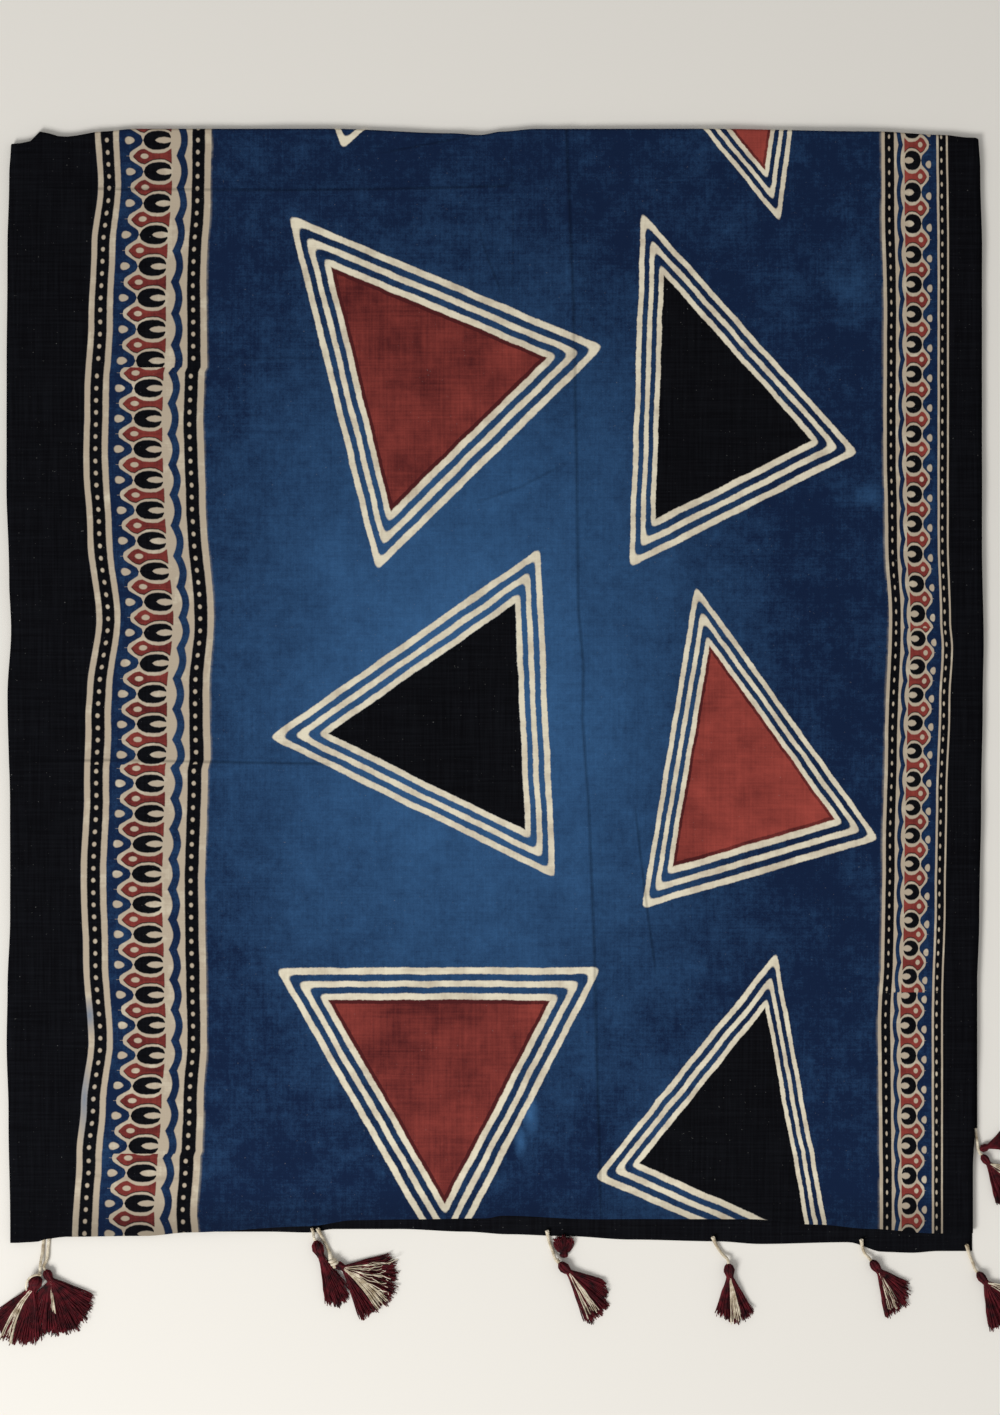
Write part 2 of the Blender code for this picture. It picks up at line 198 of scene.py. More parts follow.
def sag_depth(y):
    """How far the two upper layers settle past the end of layer 1."""
    share = np.clip((INNER_END_Y - y) / SAG_LENGTH, 0, 1)
    return SAG * share * share * (3 - 2 * share)


def layer_height(layer, x, y):
    """Height of the middle of the sheet in one layer; a fold gives a layer between two."""
    roll = np.interp(layer, range(len(ROLL_SHARES)), ROLL_SHARES) * roll_height(x, y, ROLLS)
    crease = crease_height(x, y, CREASES) + crease_height(x, y, LIGHT_FOLDS)
    only_top = np.clip(layer - 2, 0, 1) * (crease + roll_height(x, y, RIPPLES))
    sag = np.clip(layer - 1, 0, 1) * sag_depth(y)
    return SHEET / 2 + layer * LAYER_PITCH + roll + only_top - sag


def selvedge(layer, y, top_table, lower_layers):
    """The x of one selvedge in each layer."""
    top = table_values(top_table, y)
    lower = np.interp(layer, (0, 1, 2), lower_layers)
    share = np.clip(layer - 2, 0, 1)
    return lower + (top - lower) * share


def run_rows(layer, start_y, end_y, rows):
    """The layer and y of each row of a flat run, for every column."""
    shares = np.linspace(0, 1, rows)[:, None]
    y = start_y + (end_y - start_y) * shares
    return np.full_like(y, layer), y


def fold_rows(from_layer, to_layer, fold_y, toward, steps):
    """A half turn between two layers, whose outer face reaches fold_y on the side toward."""
    radius = abs(to_layer - from_layer) * LAYER_PITCH / 2
    angle = math.pi * (np.arange(1, steps)[:, None] / steps - 0.5) + 0 * fold_y
    layer = (from_layer + to_layer) / 2 + (to_layer - from_layer) / 2 * np.sin(angle)
    y = fold_y - toward * (radius + SHEET / 2) + toward * radius * np.cos(angle)
    return layer, y


def section_rows(x):
    """The layer and y of every row at each column's x, from the lower hem to the other hem."""
    outer_y = table_values(UPPER_FOLD, x)
    lower_y = table_values(LOWER_FOLD, x)
    inner_y = outer_y - INNER_FOLD_INSET
    outer_run = outer_y - OUTER_FOLD_RADIUS - SHEET / 2
    lower_run = lower_y + INNER_FOLD_RADIUS + SHEET / 2
    inner_run = inner_y - INNER_FOLD_RADIUS - SHEET / 2
    parts = (
        run_rows(0, table_values(LOWER_HEM, x), outer_run, LAYER_ROWS[0]),
        fold_rows(0, 3, outer_y, 1, OUTER_FOLD_STEPS),
        run_rows(3, outer_run, lower_run, LAYER_ROWS[3]),
        fold_rows(3, 2, lower_y, -1, INNER_FOLD_STEPS),
        run_rows(2, lower_run, inner_run, LAYER_ROWS[2]),
        fold_rows(2, 1, inner_y, 1, INNER_FOLD_STEPS),
        run_rows(1, inner_run, np.full_like(x, INNER_END_Y), LAYER_ROWS[1]),
    )
    layer = np.concatenate([part[0] for part in parts])
    y = np.concatenate([part[1] for part in parts])
    return layer, y


def strip_positions():
    """Each column's place across the sheet: its strip's number plus its share of that strip."""
    places = [0.0]
    for strip, columns in enumerate(STRIP_COLUMNS):
        places += [strip + column / columns for column in range(1, columns + 1)]
    return np.array(places)


def across(places, lines):
    """The x of each column, from the x of the selvedges and the printed lines at each row."""
    strip = np.clip(places.astype(int), 0, len(STRIP_COLUMNS) - 1)
    share = places - strip
    lines = np.stack(lines)
    rows = np.arange(lines.shape[1])[:, None]
    columns = np.arange(len(places))[None, :]
    start = lines[strip[None, :], rows, columns]
    end = lines[strip[None, :] + 1, rows, columns]
    return start + (end - start) * share


def sheet_lines(layer, y):
    """The x of the left selvedge, the four printed lines and the right selvedge."""
    return (
        selvedge(layer, y, TOP_LEFT, LOWER_LAYER_LEFT),
        printed_line(LEFT_OUTER_LINE, y),
        printed_line(LEFT_INNER_LINE, y),
        printed_line(RIGHT_INNER_LINE, y),
        printed_line(RIGHT_OUTER_LINE, y),
        selvedge(layer, y, TOP_RIGHT, LOWER_LAYER_RIGHT),
    )


def along_cloth(layer, y, z):
    """How far each row lies along the sheet: y on the top layer, and on round the folds."""
    steps = np.hypot(np.diff(y, axis=0), np.diff(z, axis=0))
    length = np.concatenate([np.zeros((1, y.shape[1])), np.cumsum(steps, axis=0)])
    first_top = int(np.argmax(layer[:, 0] == 3))
    last_top = first_top + LAYER_ROWS[3] - 1
    along = y.copy()
    along[:first_top] = y[first_top] + length[first_top] - length[:first_top]
    along[last_top:] = y[last_top] - (length[last_top:] - length[last_top])
    from_end = np.minimum(length, length[-1] - length)
    return along, from_end


def add_uv(mesh, name, first, second):
    """A UV map whose corners take two numbers from their vertices."""
    uv = mesh.uv_layers.new(name=name)
    corners = np.empty(len(mesh.loops), dtype=np.int32)
    mesh.loops.foreach_get("vertex_index", corners)
    values = np.stack([first.ravel()[corners], second.ravel()[corners]], axis=1)
    uv.data.foreach_set("uv", values.ravel().astype(np.float32))


def make_cloth():
    """The folded sheet on a grid whose columns follow the printed lines."""
    places = strip_positions()
    middle = np.zeros((1, len(places)))
    column_x = across(places, sheet_lines(middle + 3, middle))[0]
    layer, y = section_rows(column_x)
    x = across(places, sheet_lines(layer, y))
    z = layer_height(layer, x, y)
    along, from_end = along_cloth(layer, y, z)
    rows, columns = x.shape
    mesh = bpy.data.meshes.new("folded_cloth")
    corner = (np.arange(rows - 1)[:, None] * columns + np.arange(columns - 1)[None, :]).ravel()
    faces = np.stack([corner, corner + columns, corner + columns + 1, corner + 1], axis=1)
    points = np.stack([x.ravel(), y.ravel(), z.ravel()], axis=1)
    mesh.from_pydata(points.tolist(), [], faces.tolist())
    place = np.broadcast_to(places, x.shape)
    add_uv(mesh, "border", place, ORIGIN_ROW - along / STEP)
    add_uv(mesh, "chart", ORIGIN_COLUMN + x / STEP, ORIGIN_ROW - along / STEP)
    end_distance = mesh.attributes.new("from_end", "FLOAT", "POINT")
    end_distance.data.foreach_set("value", from_end.ravel().astype(np.float32))
    mesh.shade_smooth()
    cloth = add_object("folded_cloth", mesh)
    thickness = cloth.modifiers.new("Sheet thickness", "SOLIDIFY")
    thickness.thickness = CLOTH_THICKNESS
    thickness.offset = 0
    return cloth


def add_object(name, data):
    scene_object = bpy.data.objects.new(name, data)
    bpy.context.scene.collection.objects.link(scene_object)
    return scene_object


class Value:
    """One output socket of a node tree; an expression on values adds its Math nodes."""

    def __init__(self, nodes, socket):
        self.nodes = nodes
        self.socket = socket

    def maths(self, operation, *others, clamp=False, reflected=False):
        inputs = (others[0], self) if reflected else (self, *others)
        links = dict(zip(("Value", "Value_001", "Value_002"), inputs))
        settings = {"operation": operation, "use_clamp": clamp}
        return self.nodes.node("ShaderNodeMath", settings, links)

    def __add__(self, other):
        return self.maths("ADD", other)

    __radd__ = __add__

    def __sub__(self, other):
        return self.maths("SUBTRACT", other)

    def __rsub__(self, other):
        return self.maths("SUBTRACT", other, reflected=True)

    def __mul__(self, other):
        return self.maths("MULTIPLY", other)

    __rmul__ = __mul__

    def __truediv__(self, other):
        return self.maths("DIVIDE", other)

    def __neg__(self):
        return self.maths("MULTIPLY", -1.0)

    def __abs__(self):
        return self.maths("ABSOLUTE")

    def above(self, other):
        return self.maths("GREATER_THAN", other)

    def least(self, other):
        return self.maths("MINIMUM", other)

    def most(self, other):
        return self.maths("MAXIMUM", other)

    def clamped(self):
        return self.maths("MAXIMUM", 0.0, clamp=True)

    def wrapped(self, low, high):
        return self.maths("WRAP", high, low)

    def times_plus(self, factor, addend, clamp=False):
        return self.maths("MULTIPLY_ADD", factor, addend, clamp=clamp)


class Nodes:
    """A node tree, which every node is added to by one method."""

    def __init__(self, tree):
        self.tree = tree

    def plug(self, socket, value):
        if isinstance(value, Value):
            self.tree.links.new(value.socket, socket)
        else:
            socket.default_value = value

    def node(self, kind, settings=None, links=None, output=0):
        """Adds a node, sets it up, then fills its sockets, which go by identifier or name."""
        added = self.tree.nodes.new(kind)
        for name, setting in (settings or {}).items():
            if name == "points":
                set_curve(added.mapping, setting)
            else:
                setattr(added, name, setting)
        for key, value in (links or {}).items():
            socket = next(s for s in added.inputs if key in (s.identifier, s.name))
            self.plug(socket, value)
        return Value(self, added.outputs[output])


class Shader(Nodes):
    """A material's node tree."""

    def __init__(self, name):
        self.material = bpy.data.materials.new(name)
        self.material.use_nodes = True
        super().__init__(self.material.node_tree)
        self.surface = self.tree.nodes["Principled BSDF"]

    def finish(self, **values):
        for key, value in values.items():
            self.plug(self.surface.inputs[key.replace("_", " ")], value)
        return self.material


class Shape(Nodes):
    """A Geometry Nodes tree with named inputs, run on one object at a time."""

    def __init__(self, name):
        super().__init__(bpy.data.node_groups.new(name, "GeometryNodeTree"))
        self.identifiers = {}
        self.source = self.tree.nodes.new("NodeGroupInput")
        for way in ("INPUT", "OUTPUT"):
            self.tree.interface.new_socket("Geometry", in_out=way, socket_type="NodeSocketGeometry")

    def input(self, name, kind):
        socket = self.tree.interface.new_socket(name, in_out="INPUT", socket_type="NodeSocket" + kind)
        self.identifiers[name] = socket.identifier
        return Value(self, self.source.outputs[name])

    def finish(self, geometry, material):
        realised = self.node("GeometryNodeRealizeInstances", None, {"Geometry": geometry})
        smooth = self.node("GeometryNodeSetShadeSmooth", None, {"Geometry": realised})
        painted = self.node("GeometryNodeSetMaterial", None, {"Geometry": smooth, "Material": material})
        result = self.tree.nodes.new("NodeGroupOutput")
        self.tree.links.new(painted.socket, result.inputs[0])

    def shaped(self, source, values):
        """The tree's result on a source object, as a plain mesh; the source goes."""
        modifier = source.modifiers.new("Shape", "NODES")
        modifier.node_group = self.tree
        for name, value in values.items():
            modifier[self.identifiers[name]] = value
        return evaluated_mesh(source)


def evaluated_mesh(source):
    """A plain mesh of what an object's modifiers or bevel make of it; the object goes."""
    evaluated = source.evaluated_get(bpy.context.evaluated_depsgraph_get())
    mesh = bpy.data.meshes.new_from_object(evaluated)
    bpy.data.objects.remove(source)
    return mesh


def set_curve(mapping, points):
    """Puts a curve through the points, straight from each to the next."""
    curve = mapping.curves[0]
    while len(curve.points) < len(points):
        curve.points.new(0.5, 0.5)
    for point, (x, y) in zip(curve.points, points):
        point.location = (x, y)
        point.handle_type = "VECTOR"
    mapping.update()


def vector_maths(nodes, operation, first, second=None, third=None, scale=None):
    """One step on vectors; a length or a dot product comes out as one number."""
    sockets = {"Vector": first, "Vector_001": second, "Vector_002": third, "Scale": scale}
    links = {key: value for key, value in sockets.items() if value is not None}
    output = 1 if operation in ("LENGTH", "DOT_PRODUCT") else 0
    return nodes.node("ShaderNodeVectorMath", {"operation": operation}, links, output)


def scaled(nodes, vector, factor):
    return vector_maths(nodes, "SCALE", vector, scale=factor)


def coordinate(nodes, vector, axis):
    """One coordinate of a vector: 0 is X, 1 is Y and 2 is Z."""
    return nodes.node("ShaderNodeSeparateXYZ", None, {"Vector": vector}, axis)


def paint(red, green, blue):
    """A linear colour from one read off, 0 to 255."""
    linear = []
    for share in (red / 255, green / 255, blue / 255):
        linear.append(share / 12.92 if share <= 0.04045 else ((share + 0.055) / 1.055) ** 2.4)
    return (*linear, 1.0)


# Colours of the print.
INDIGO_DARK = paint(19, 33, 60)
# The pale indigo of worn places, also used for the painted light in the middle of the field.
INDIGO_WORN_AND_LIT = paint(53, 91, 133)
RED_DARK = paint(74, 30, 31)
RED_BRIGHT = paint(177, 79, 68)
CREAM = paint(220, 211, 187)
CREAM_STAINED = paint(174, 160, 140)
STAIN = paint(118, 126, 138)
BLACK = paint(9, 9, 12)
BLACK_FADED = paint(29, 31, 36)
LINT = paint(150, 150, 146)
COTTON_SHINE = 0.02
YARN_SHINE = 0.2

# The cotton's threads: waves per metre across a thread and along it, in the dyes and in the
# weave's bump, and that bump's strength and depth.
STREAK_WAVES = (420, 14)
WEAVE_WAVES = (1500, 90)
WEAVE_STRENGTH = 0.35
WEAVE_DEPTH = 0.0004
# How the inks vary, as shares of the way from each one's dark colour to its light one: by
# threads, mottling and patches, and the level round which they do.
INDIGO_STREAKS = 0.22
RED_LEVEL = 0.20
RED_STREAKS = 0.28
RED_MOTTLING = 0.38
RED_PATCHES = 0.75
RED_PATCH_WAVES = 21
RED_RIM_DARK = 0.4
BLACK_LEVEL = 0.12
BLACK_STREAKS = 0.5
BLACK_MOTTLING = 0.2
CREAM_WAVES = 45
CREAM_AGEING = (2.2, -0.35)
CREAM_STREAKS = 0.4
BORDER_CREAM_DULLNESS = 0.85
STAIN_SHARE = 0.8
# The reds pale by a share over a span of columns, and much less in the right border.
RED_PALING = 0.37
RED_PALING_START = 440
RED_PALING_SPAN = 430
BORDER_RED_EVENNESS = 0.70
# Flecks of lint: waves per metre, factor and offset, and how strong they are.
LINT_WAVES = 420
LINT_CONTRAST = (12.0, -9.1)
LINT_SHARE = 0.25
# Spun yarn: waves per metre of its tones and fibres, the tones' factor and offset, and the
# depth of its fibres. The tones are blotches between a dark and a light colour, partly random
# and partly painted shade between the locks.
YARN_TONE_AND_SHADE_WAVES = 110
YARN_TONE_AND_SHADE_CONTRAST = (2.6, -0.8)
FIBRE_WAVES = 2600
FIBRE_DEPTH = 0.0002

# How soft the edges of the print are, in steps of the chart.
PRINT_EDGE = 1.0
# How the hand-cut blocks' edges wander: waves per metre, and how far in steps.
EDGE_WANDER = ((26, 3.2), (140, 1.2), (430, 1.1))
# The share of that in the borders.
BORDER_WANDER = 0.5
# How uneven the dyes are: waves per metre, and how much each adds.
DYE_MOTTLING = ((640, 0.45), (170, 0.42), (48, 0.32), (12, 0.45))

# The rows of the chart after which the print starts again on the layers below.
TILE_TOP = 52
TILE_BOTTOM = 1302

# Where the indigo is paler: worn places, and a large first patch over the middle of the field
# which is partly wear and partly painted light, brighter in the middle and darker towards the edges.
# Column, row, half width, half length, how pale the middle is, and how much that falls for each
# half width or length.
WORN_AND_LIT_PLACES = (
    (465, 690, 335, 500, 0.98, 0.92),
    (690, 1160, 130, 220, 0.40, 0.42),
    (530, 1112, 9, 24, 1.05, 0.80),
    (521, 1136, 8, 20, 0.95, 0.80),
    (850, 290, 34, 60, 0.26, 0.24),
    (870, 495, 22, 18, 0.50, 0.50),
)
LEAST_WORN_AND_LIT = 0.05
# Grey stains on the cream: column, row, half width, half length, strength, fall.
STAINS = (
    (91, 1013, 8, 16, 1.3, 1.0),
    (86, 1096, 8, 40, 1.2, 1.0),
)

# The triangles: fill, then each corner's column and row and the depth of the nested outlines
# along the side that starts there.
TRIANGLES = (
    ("red", (289, 214, 32.8), (605, 346, 33.5), (377, 571, 29.0)),
    ("black", (641, 211, 26.6), (858, 452, 32.2), (629, 567, 24.9)),
    ("black", (541, 546, 28.6), (556, 877, 30.5), (269, 736, 31.8)),
    ("red", (695, 583, 24.5), (879, 838, 32.0), (641, 907, 24.4)),
    ("red", (276, 965, 32.8), (602, 965, 31.3), (447, 1265, 30.5)),
    ("black", (776, 949, 21.2), (837, 1281, 31.3), (594, 1175, 26.9)),
    ("black", (344, 150, 28.0), (307, 60, 28.0), (438, 60, 28.0)),
    ("red", (779.5, 224, 22.0), (663.3, 80, 22.0), (798.2, 80, 22.0)),
)
CORNER_ROUNDING = 12.0
# Depths inside a triangle's edge between which its cream outlines lie, on a nest NEST deep, and
# the depth from which the fill covers the last of them.
NEST = 30.0
CREAM_OUTLINES = ((0.3, 6.25), (12.35, 17.85), (23.8, NEST))
FILL_DEPTH = 29.6
DARK_RIM = 3.5

# The border's blocks on each side: the row that each starts at, the row of a crescent in it,
# and the pitch of its crescents.
LEFT_BLOCKS = (
    (0, 140.2, 31.46),
    (367, 387.6, 30.47),
    (762.8, 781.7, 30.12),
    (1150.8, 1170.2, 30.3),
)
RIGHT_BLOCKS = (
    (0, 160.8, 31.5),
    (246, 314.2, 29.84),
    (627, 749.6, 28.06),
    (990, 1083, 29.95),
)

# The border's cross-section in steps from its outer edge, of a width of 120. Where there are two
# values, they are for the left border and for the right, which is printed narrower.
BORDER_WIDTH = 120
OUTER_LINE = (5.9, 3.4)
OUTER_BAND = (18.6, 16.8)
SECOND_LINE = (24.5, 20.8)
BORDER_MOTIFS = 32
CRESCENT_START = 48.8
CRESCENT_END = 78.5
SCALLOP_EDGE = (83.4, 80.8)
SCALLOP_WAVE = 4.8
WAVE_EDGE = (92.0, 89.2)
WAVE_HEIGHT = 3.6
THIRD_LINE = (100.0, 97.0)
INNER_BAND = (113.4, 113.8)
# Dots: place across the border, and half sizes across and along it.
DOT = (35.4, 4.8, 3.6)
BULB_DOT = (50.3, 4.0, 2.6)
OUTER_DOT = (12.0, 1.9, 2.2)
INNER_DOT = (106.0, 1.9, 2.2)
RIGHT_DOT_DROP = 4.0
DOT_TAPER = 0.05
SMALL_DOT_PITCH = (12.1, 11.85)

# Half heights of the bottle, of its cream outline, and of the drop in the crescent, in steps, at
# places across the border.
PROFILE_HEIGHT = 16
BOTTLE_START = 38.4
BOTTLE_END = 78.5
BOTTLE_SHADE = 1.0
BOTTLE = (
    (0, 0), (BOTTLE_START, 0), (43.2, 4.8), (46.3, 6.6), (50.3, 7.5), (55, 4.8), (59, 3.2),
    (65.4, 2.6), (71, 3.0), (74.9, 4.8), (77.7, 6.8), (BORDER_WIDTH, 6.8),
)
BOTTLE_OUTLINE = (
    (0, 0), (34.6, 0), (35.2, 2.8), (35.8, 3.9), (38.9, 6.1), (42.6, 8.3), (46.9, 11.1),
    (48.8, 16), (50.8, 11.0), (54.2, 8.2), (58.4, 6.6), (64.7, 6.0), (71.1, 6.5), (75.9, 8.6),
    (78, 12), (79.2, 16), (BORDER_WIDTH, 16),
)
DROP_START = 62
DROP = (
    (0, 0), (DROP_START, 0), (63.5, 1.5), (66.3, 2.6), (71.1, 3.2), (75, 2.6), (78, 1.8),
    (79, 16), (BORDER_WIDTH, 16),
)

# Fine creases of the top layer: which way each runs on the chart, its height as a share, its
# half width in steps, and its places along and across that way.
FINE_CREASES = (
    ("down", 1.0, 2.6, ((60, 565), (130, 566), (300, 573), (450, 576), (610, 578), (665, 583),
                        (720, 582), (800, 588), (950, 594), (1080, 597), (1236, 601))),
    ("across", 0.9, 2.4, ((32, 188), (120, 190), (300, 191), (430, 189), (525, 186))),
    ("across", 1.0, 2.4, ((10, 761), (110, 759), (220, 761), (340, 763))),
    ("across", 0.4, 2.8, ((200, 357), (270, 359), (340, 358))),
    ("across", 0.7, 2.2, ((376, 155), (430, 145), (486, 134))),
    ("down", 0.6, 2.4, ((222, 476), (262, 489), (308, 507))),
    ("across", 0.6, 2.6, ((468, 505), (520, 487), (572, 460))),
    ("down", 0.9, 2.2, ((800, 634), (880, 643), (978, 656))),
    ("down", 0.4, 1.8, ((128, 511), (215, 513), (305, 512))),
    ("across", 0.4, 3.2, ((74, 1172), (140, 1177), (205, 1175))),
    ("across", 0.3, 3.0, ((74, 1156), (120, 1160), (188, 1157))),
)
CHART_SPAN = 1400
CREASE_FADE = 24
# The share of black painted into the fine creases as shade.
CREASE_SHADE_SHARE = 0.34
# The puckers across the long crease: their rows, pitch, reach and height as a share.
PUCKER_ROWS = (606, 730)
PUCKER_MIDDLE = 580
PUCKER_PITCH = 15
PUCKER_REACH = 26
PUCKER_HEIGHT = 0.5
PUCKER_SLANT = 0.06
# The top layer is painted darker, as shade, as it rolls down towards the lower fold.
ROLL_SHADE_START = 1188
ROLL_SHADE_LENGTH = 50
ROLL_SHADE_DARK = 0.45
# The hem's width in steps, its height as a share, and the depth of the fine creases' bump.
HEM_STEPS = 9
HEM_SHARE = 0.5
FINE_CREASE_DEPTH = 0.0008


def curved(shader, position, points, width, height):
    """A value that follows a table as the position changes, straight from each row to the next."""
    shares = [(first / width, second / height) for first, second in points]
    curve = shader.node("ShaderNodeFloatCurve", {"points": shares}, {"Value": position / width})
    return curve * height


def profile(shader, across_border, points):
    """A half height that changes across the border, from its table."""
    return curved(shader, across_border, points, BORDER_WIDTH, PROFILE_HEIGHT)


def inked(distance):
    """1 where a distance is above zero and 0 where it is below, with the print's soft edge."""
    return distance.times_plus(1 / PRINT_EDGE, 0.5, clamp=True)


def between(position, low, high):
    """The strip of a position between two limits."""
    return inked(position - low).least(inked(high - position))


def spot(shader, along_x, along_y, radius_x, radius_y):
    """An oval dot round zero."""
    place = shader.node(
        "ShaderNodeCombineXYZ", None, {"X": along_x / radius_x, "Y": along_y / radius_y})
    return inked((1 - vector_maths(shader, "LENGTH", place)) * ((radius_x + radius_y) / 2))


def patches(shader, chart, places):
    """The strongest of several soft oval patches at each place on the chart."""
    each = []
    for column, row, half_width, half_length, strength, fall in places:
        scale = (1 / half_width, 1 / half_length, 0)
        start = (-column / half_width, -row / half_length, 0)
        away = vector_maths(shader, "MULTIPLY_ADD", chart, scale, start)
        each.append(vector_maths(shader, "LENGTH", away).times_plus(-fall, strength))
    return reduce(Value.most, each)


def block_value(row, blocks, column):
    """One column of the blocks' table at each row of the chart."""
    value = blocks[0][column]
    for before, block in zip(blocks, blocks[1:]):
        value = row.above(block[0]).times_plus(block[column] - before[column], value)
    return value


def mix_values(first, second, factor):
    return factor * (second - first) + first


def mixed(shader, first, second, factor):
    links = {"Factor_Float": factor, "A_Color": first, "B_Color": second}
    return shader.node("ShaderNodeMix", {"data_type": "RGBA"}, links, 2)


def noise(shader, where, scale, detail=2.0, roughness=0.5, colour=False):
    links = {"Vector": where, "Scale": scale, "Detail": detail, "Roughness": roughness}
    output = 1 if colour else 0
    return shader.node("ShaderNodeTexNoise", {"noise_dimensions": "3D"}, links, output)


def uneven_threads(shader, where, across_thread, along_thread):
    """Uneven threads of the warp, which runs along Y, and of the weft, round zero."""
    warp = vector_maths(shader, "MULTIPLY", where, (across_thread, along_thread, along_thread))
    weft = vector_maths(shader, "MULTIPLY", where, (along_thread, across_thread, along_thread))
    return noise(shader, warp, 1.0) + noise(shader, weft, 1.0) - 1


def block_wander(shader, where):
    """How far the print's edges wander across and along the chart, in steps."""
    wanders = []
    for waves, steps in EDGE_WANDER:
        wander = noise(shader, where, waves, 2.0, 0.5, True)
        wander = vector_maths(shader, "SUBTRACT", wander, (0.5, 0.5, 0.5))
        wanders.append(scaled(shader, wander, float(steps)))
    total = reduce(lambda one, other: vector_maths(shader, "ADD", one, other), wanders)
    return coordinate(shader, total, 0), coordinate(shader, total, 1)


def triangle_depth(shader, chart, corners):
    """How deep inside a triangle a place lies, in steps of its nest: as it is, and rounded."""
    centre = np.mean([corner[:2] for corner in corners], axis=0)
    distances = []
    for (x0, y0, nest), (x1, y1, next_nest) in zip(corners, corners[1:] + corners[:1]):
        normal = np.array([y0 - y1, x1 - x0]) / math.hypot(x1 - x0, y1 - y0)
        if normal @ (centre - np.array([x0, y0])) < 0:
            normal = -normal
        normal *= NEST / nest
        side = (*normal, -float(normal @ np.array([x0, y0])))
        distances.append(vector_maths(shader, "DOT_PRODUCT", chart, side))
    rounded = reduce(lambda one, other: one.maths("SMOOTH_MIN", other, CORNER_ROUNDING), distances)
    return reduce(Value.least, distances), rounded


def field_masks(shader, chart):
    """The triangles' cream outlines, their red and black fills, and the red's darker rim."""
    depths = {"red": [], "black": []}
    rounded_depths = []
    for fill, *corners in TRIANGLES:
        depth, rounded = triangle_depth(shader, chart, corners)
        depths[fill].append(depth)
        rounded_depths.append(rounded)
    red_depth = reduce(Value.most, depths["red"])
    black_depth = reduce(Value.most, depths["black"])
    nearest = reduce(Value.most, rounded_depths)
    cream = reduce(Value.most, [between(nearest, low, high) for low, high in CREAM_OUTLINES])
    in_red = inked(red_depth - FILL_DEPTH)
    in_black = inked(black_depth - FILL_DEPTH)
    rim = between(red_depth, FILL_DEPTH, FILL_DEPTH + DARK_RIM)
    return cream * (1 - in_black), in_red, in_black, rim


def on_each_side(right, sizes):
    """A size that differs between the left border and the right one."""
    left_size, right_size = sizes
    return right.times_plus(right_size - left_size, left_size)


def border_lines(steps, right, wave):
    """The cream lines along the border, one of them wavy, and the black bands beside them."""
    outer_line, outer_band, second_line, wave_edge, third_line, inner_band = [
        on_each_side(right, sizes)
        for sizes in (OUTER_LINE, OUTER_BAND, SECOND_LINE, WAVE_EDGE, THIRD_LINE, INNER_BAND)
    ]
    lines = between(steps, 0, outer_line).most(between(steps, outer_band, second_line))
    wavy_line = inked(steps - wave_edge - wave * WAVE_HEIGHT).least(inked(third_line - steps))
    lines = lines.most(wavy_line).most(between(steps, inner_band, BORDER_WIDTH))
    bands = between(steps, outer_line, outer_band).most(between(steps, third_line, inner_band))
    return lines, bands


def border_dots(shader, steps, right, after, from_crescent):
    """The drop-shaped dots between the bottles, and the small dots in the black bands."""
    past_dot = steps - DOT[0]
    along_dot = (from_crescent - right * RIGHT_DOT_DROP) * past_dot.times_plus(DOT_TAPER, 1)
    dots = [spot(shader, past_dot, along_dot, DOT[1], DOT[2])]
    pitch = on_each_side(right, SMALL_DOT_PITCH)
    along_small_dot = after.wrapped(pitch * -0.5, pitch * 0.5)
    for place, across, along in (OUTER_DOT, INNER_DOT):
        dots.append(spot(shader, steps - place, along_small_dot, across, along))
    return reduce(Value.most, dots)


def border_masks(shader, place, row):
    """The cream, red, shade and black of the two printed borders, and the dots in the bottles."""
    right = place.above(2.5)
    steps = (place - 1).least(4 - place) * BORDER_WIDTH
    crescent, pitch = [
        mix_values(block_value(row, LEFT_BLOCKS, column), block_value(row, RIGHT_BLOCKS, column), right)
        for column in (1, 2)
    ]
    after = row - crescent
    turns = after / pitch
    from_crescent = turns.wrapped(-0.5, 0.5) * pitch
    from_bottle = (turns.wrapped(0, 1) - 0.5) * pitch
    wave = abs((turns * math.pi).maths("COSINE"))
    lines, bands = border_lines(steps, right, wave)
    bottle = profile(shader, steps, BOTTLE)
    outside_outline = abs(from_bottle) - profile(shader, steps, BOTTLE_OUTLINE)
    bottle_strip = between(steps, BOTTLE_START, BOTTLE_END)
    red = inked(bottle - abs(from_bottle)).least(bottle_strip)
    shade = inked(bottle - abs(from_bottle - BOTTLE_SHADE)).least(bottle_strip)
    scallop = inked(on_each_side(right, SCALLOP_EDGE) - steps + wave * SCALLOP_WAVE)
    outline = inked(-outside_outline).least(scallop).least(inked(steps - BORDER_MOTIFS))
    drop = inked(profile(shader, steps, DROP) - abs(from_crescent))
    drop = drop.least(inked(steps - DROP_START)).least(scallop)
    crescent_ink = inked(outside_outline).least(between(steps, CRESCENT_START, CRESCENT_END))
    black = bands.most(crescent_ink * (1 - drop))
    dots = border_dots(shader, steps, right, after, from_crescent)
    bulb_dot = spot(shader, steps - BULB_DOT[0], from_bottle, BULB_DOT[1], BULB_DOT[2])
    return lines.most(outline).most(drop).most(dots), red, shade, black, bulb_dot


def fine_creases(shader, column, row):
    """How high the fine creases stand at each place on the chart, from 0 to 1."""
    creases = []
    for way, share, half_width, places in FINE_CREASES:
        along, across_line = (row, column) if way == "down" else (column, row)
        away = abs(across_line - curved(shader, along, places, CHART_SPAN, CHART_SPAN))
        ridge = (1 - away / half_width).most(0.0)
        from_ends = (along - places[0][0]).least(places[-1][0] - along)
        fade = from_ends.times_plus(share / CREASE_FADE, 0.0, clamp=True).least(share)
        creases.append(ridge * fade)
    return reduce(Value.most, creases)


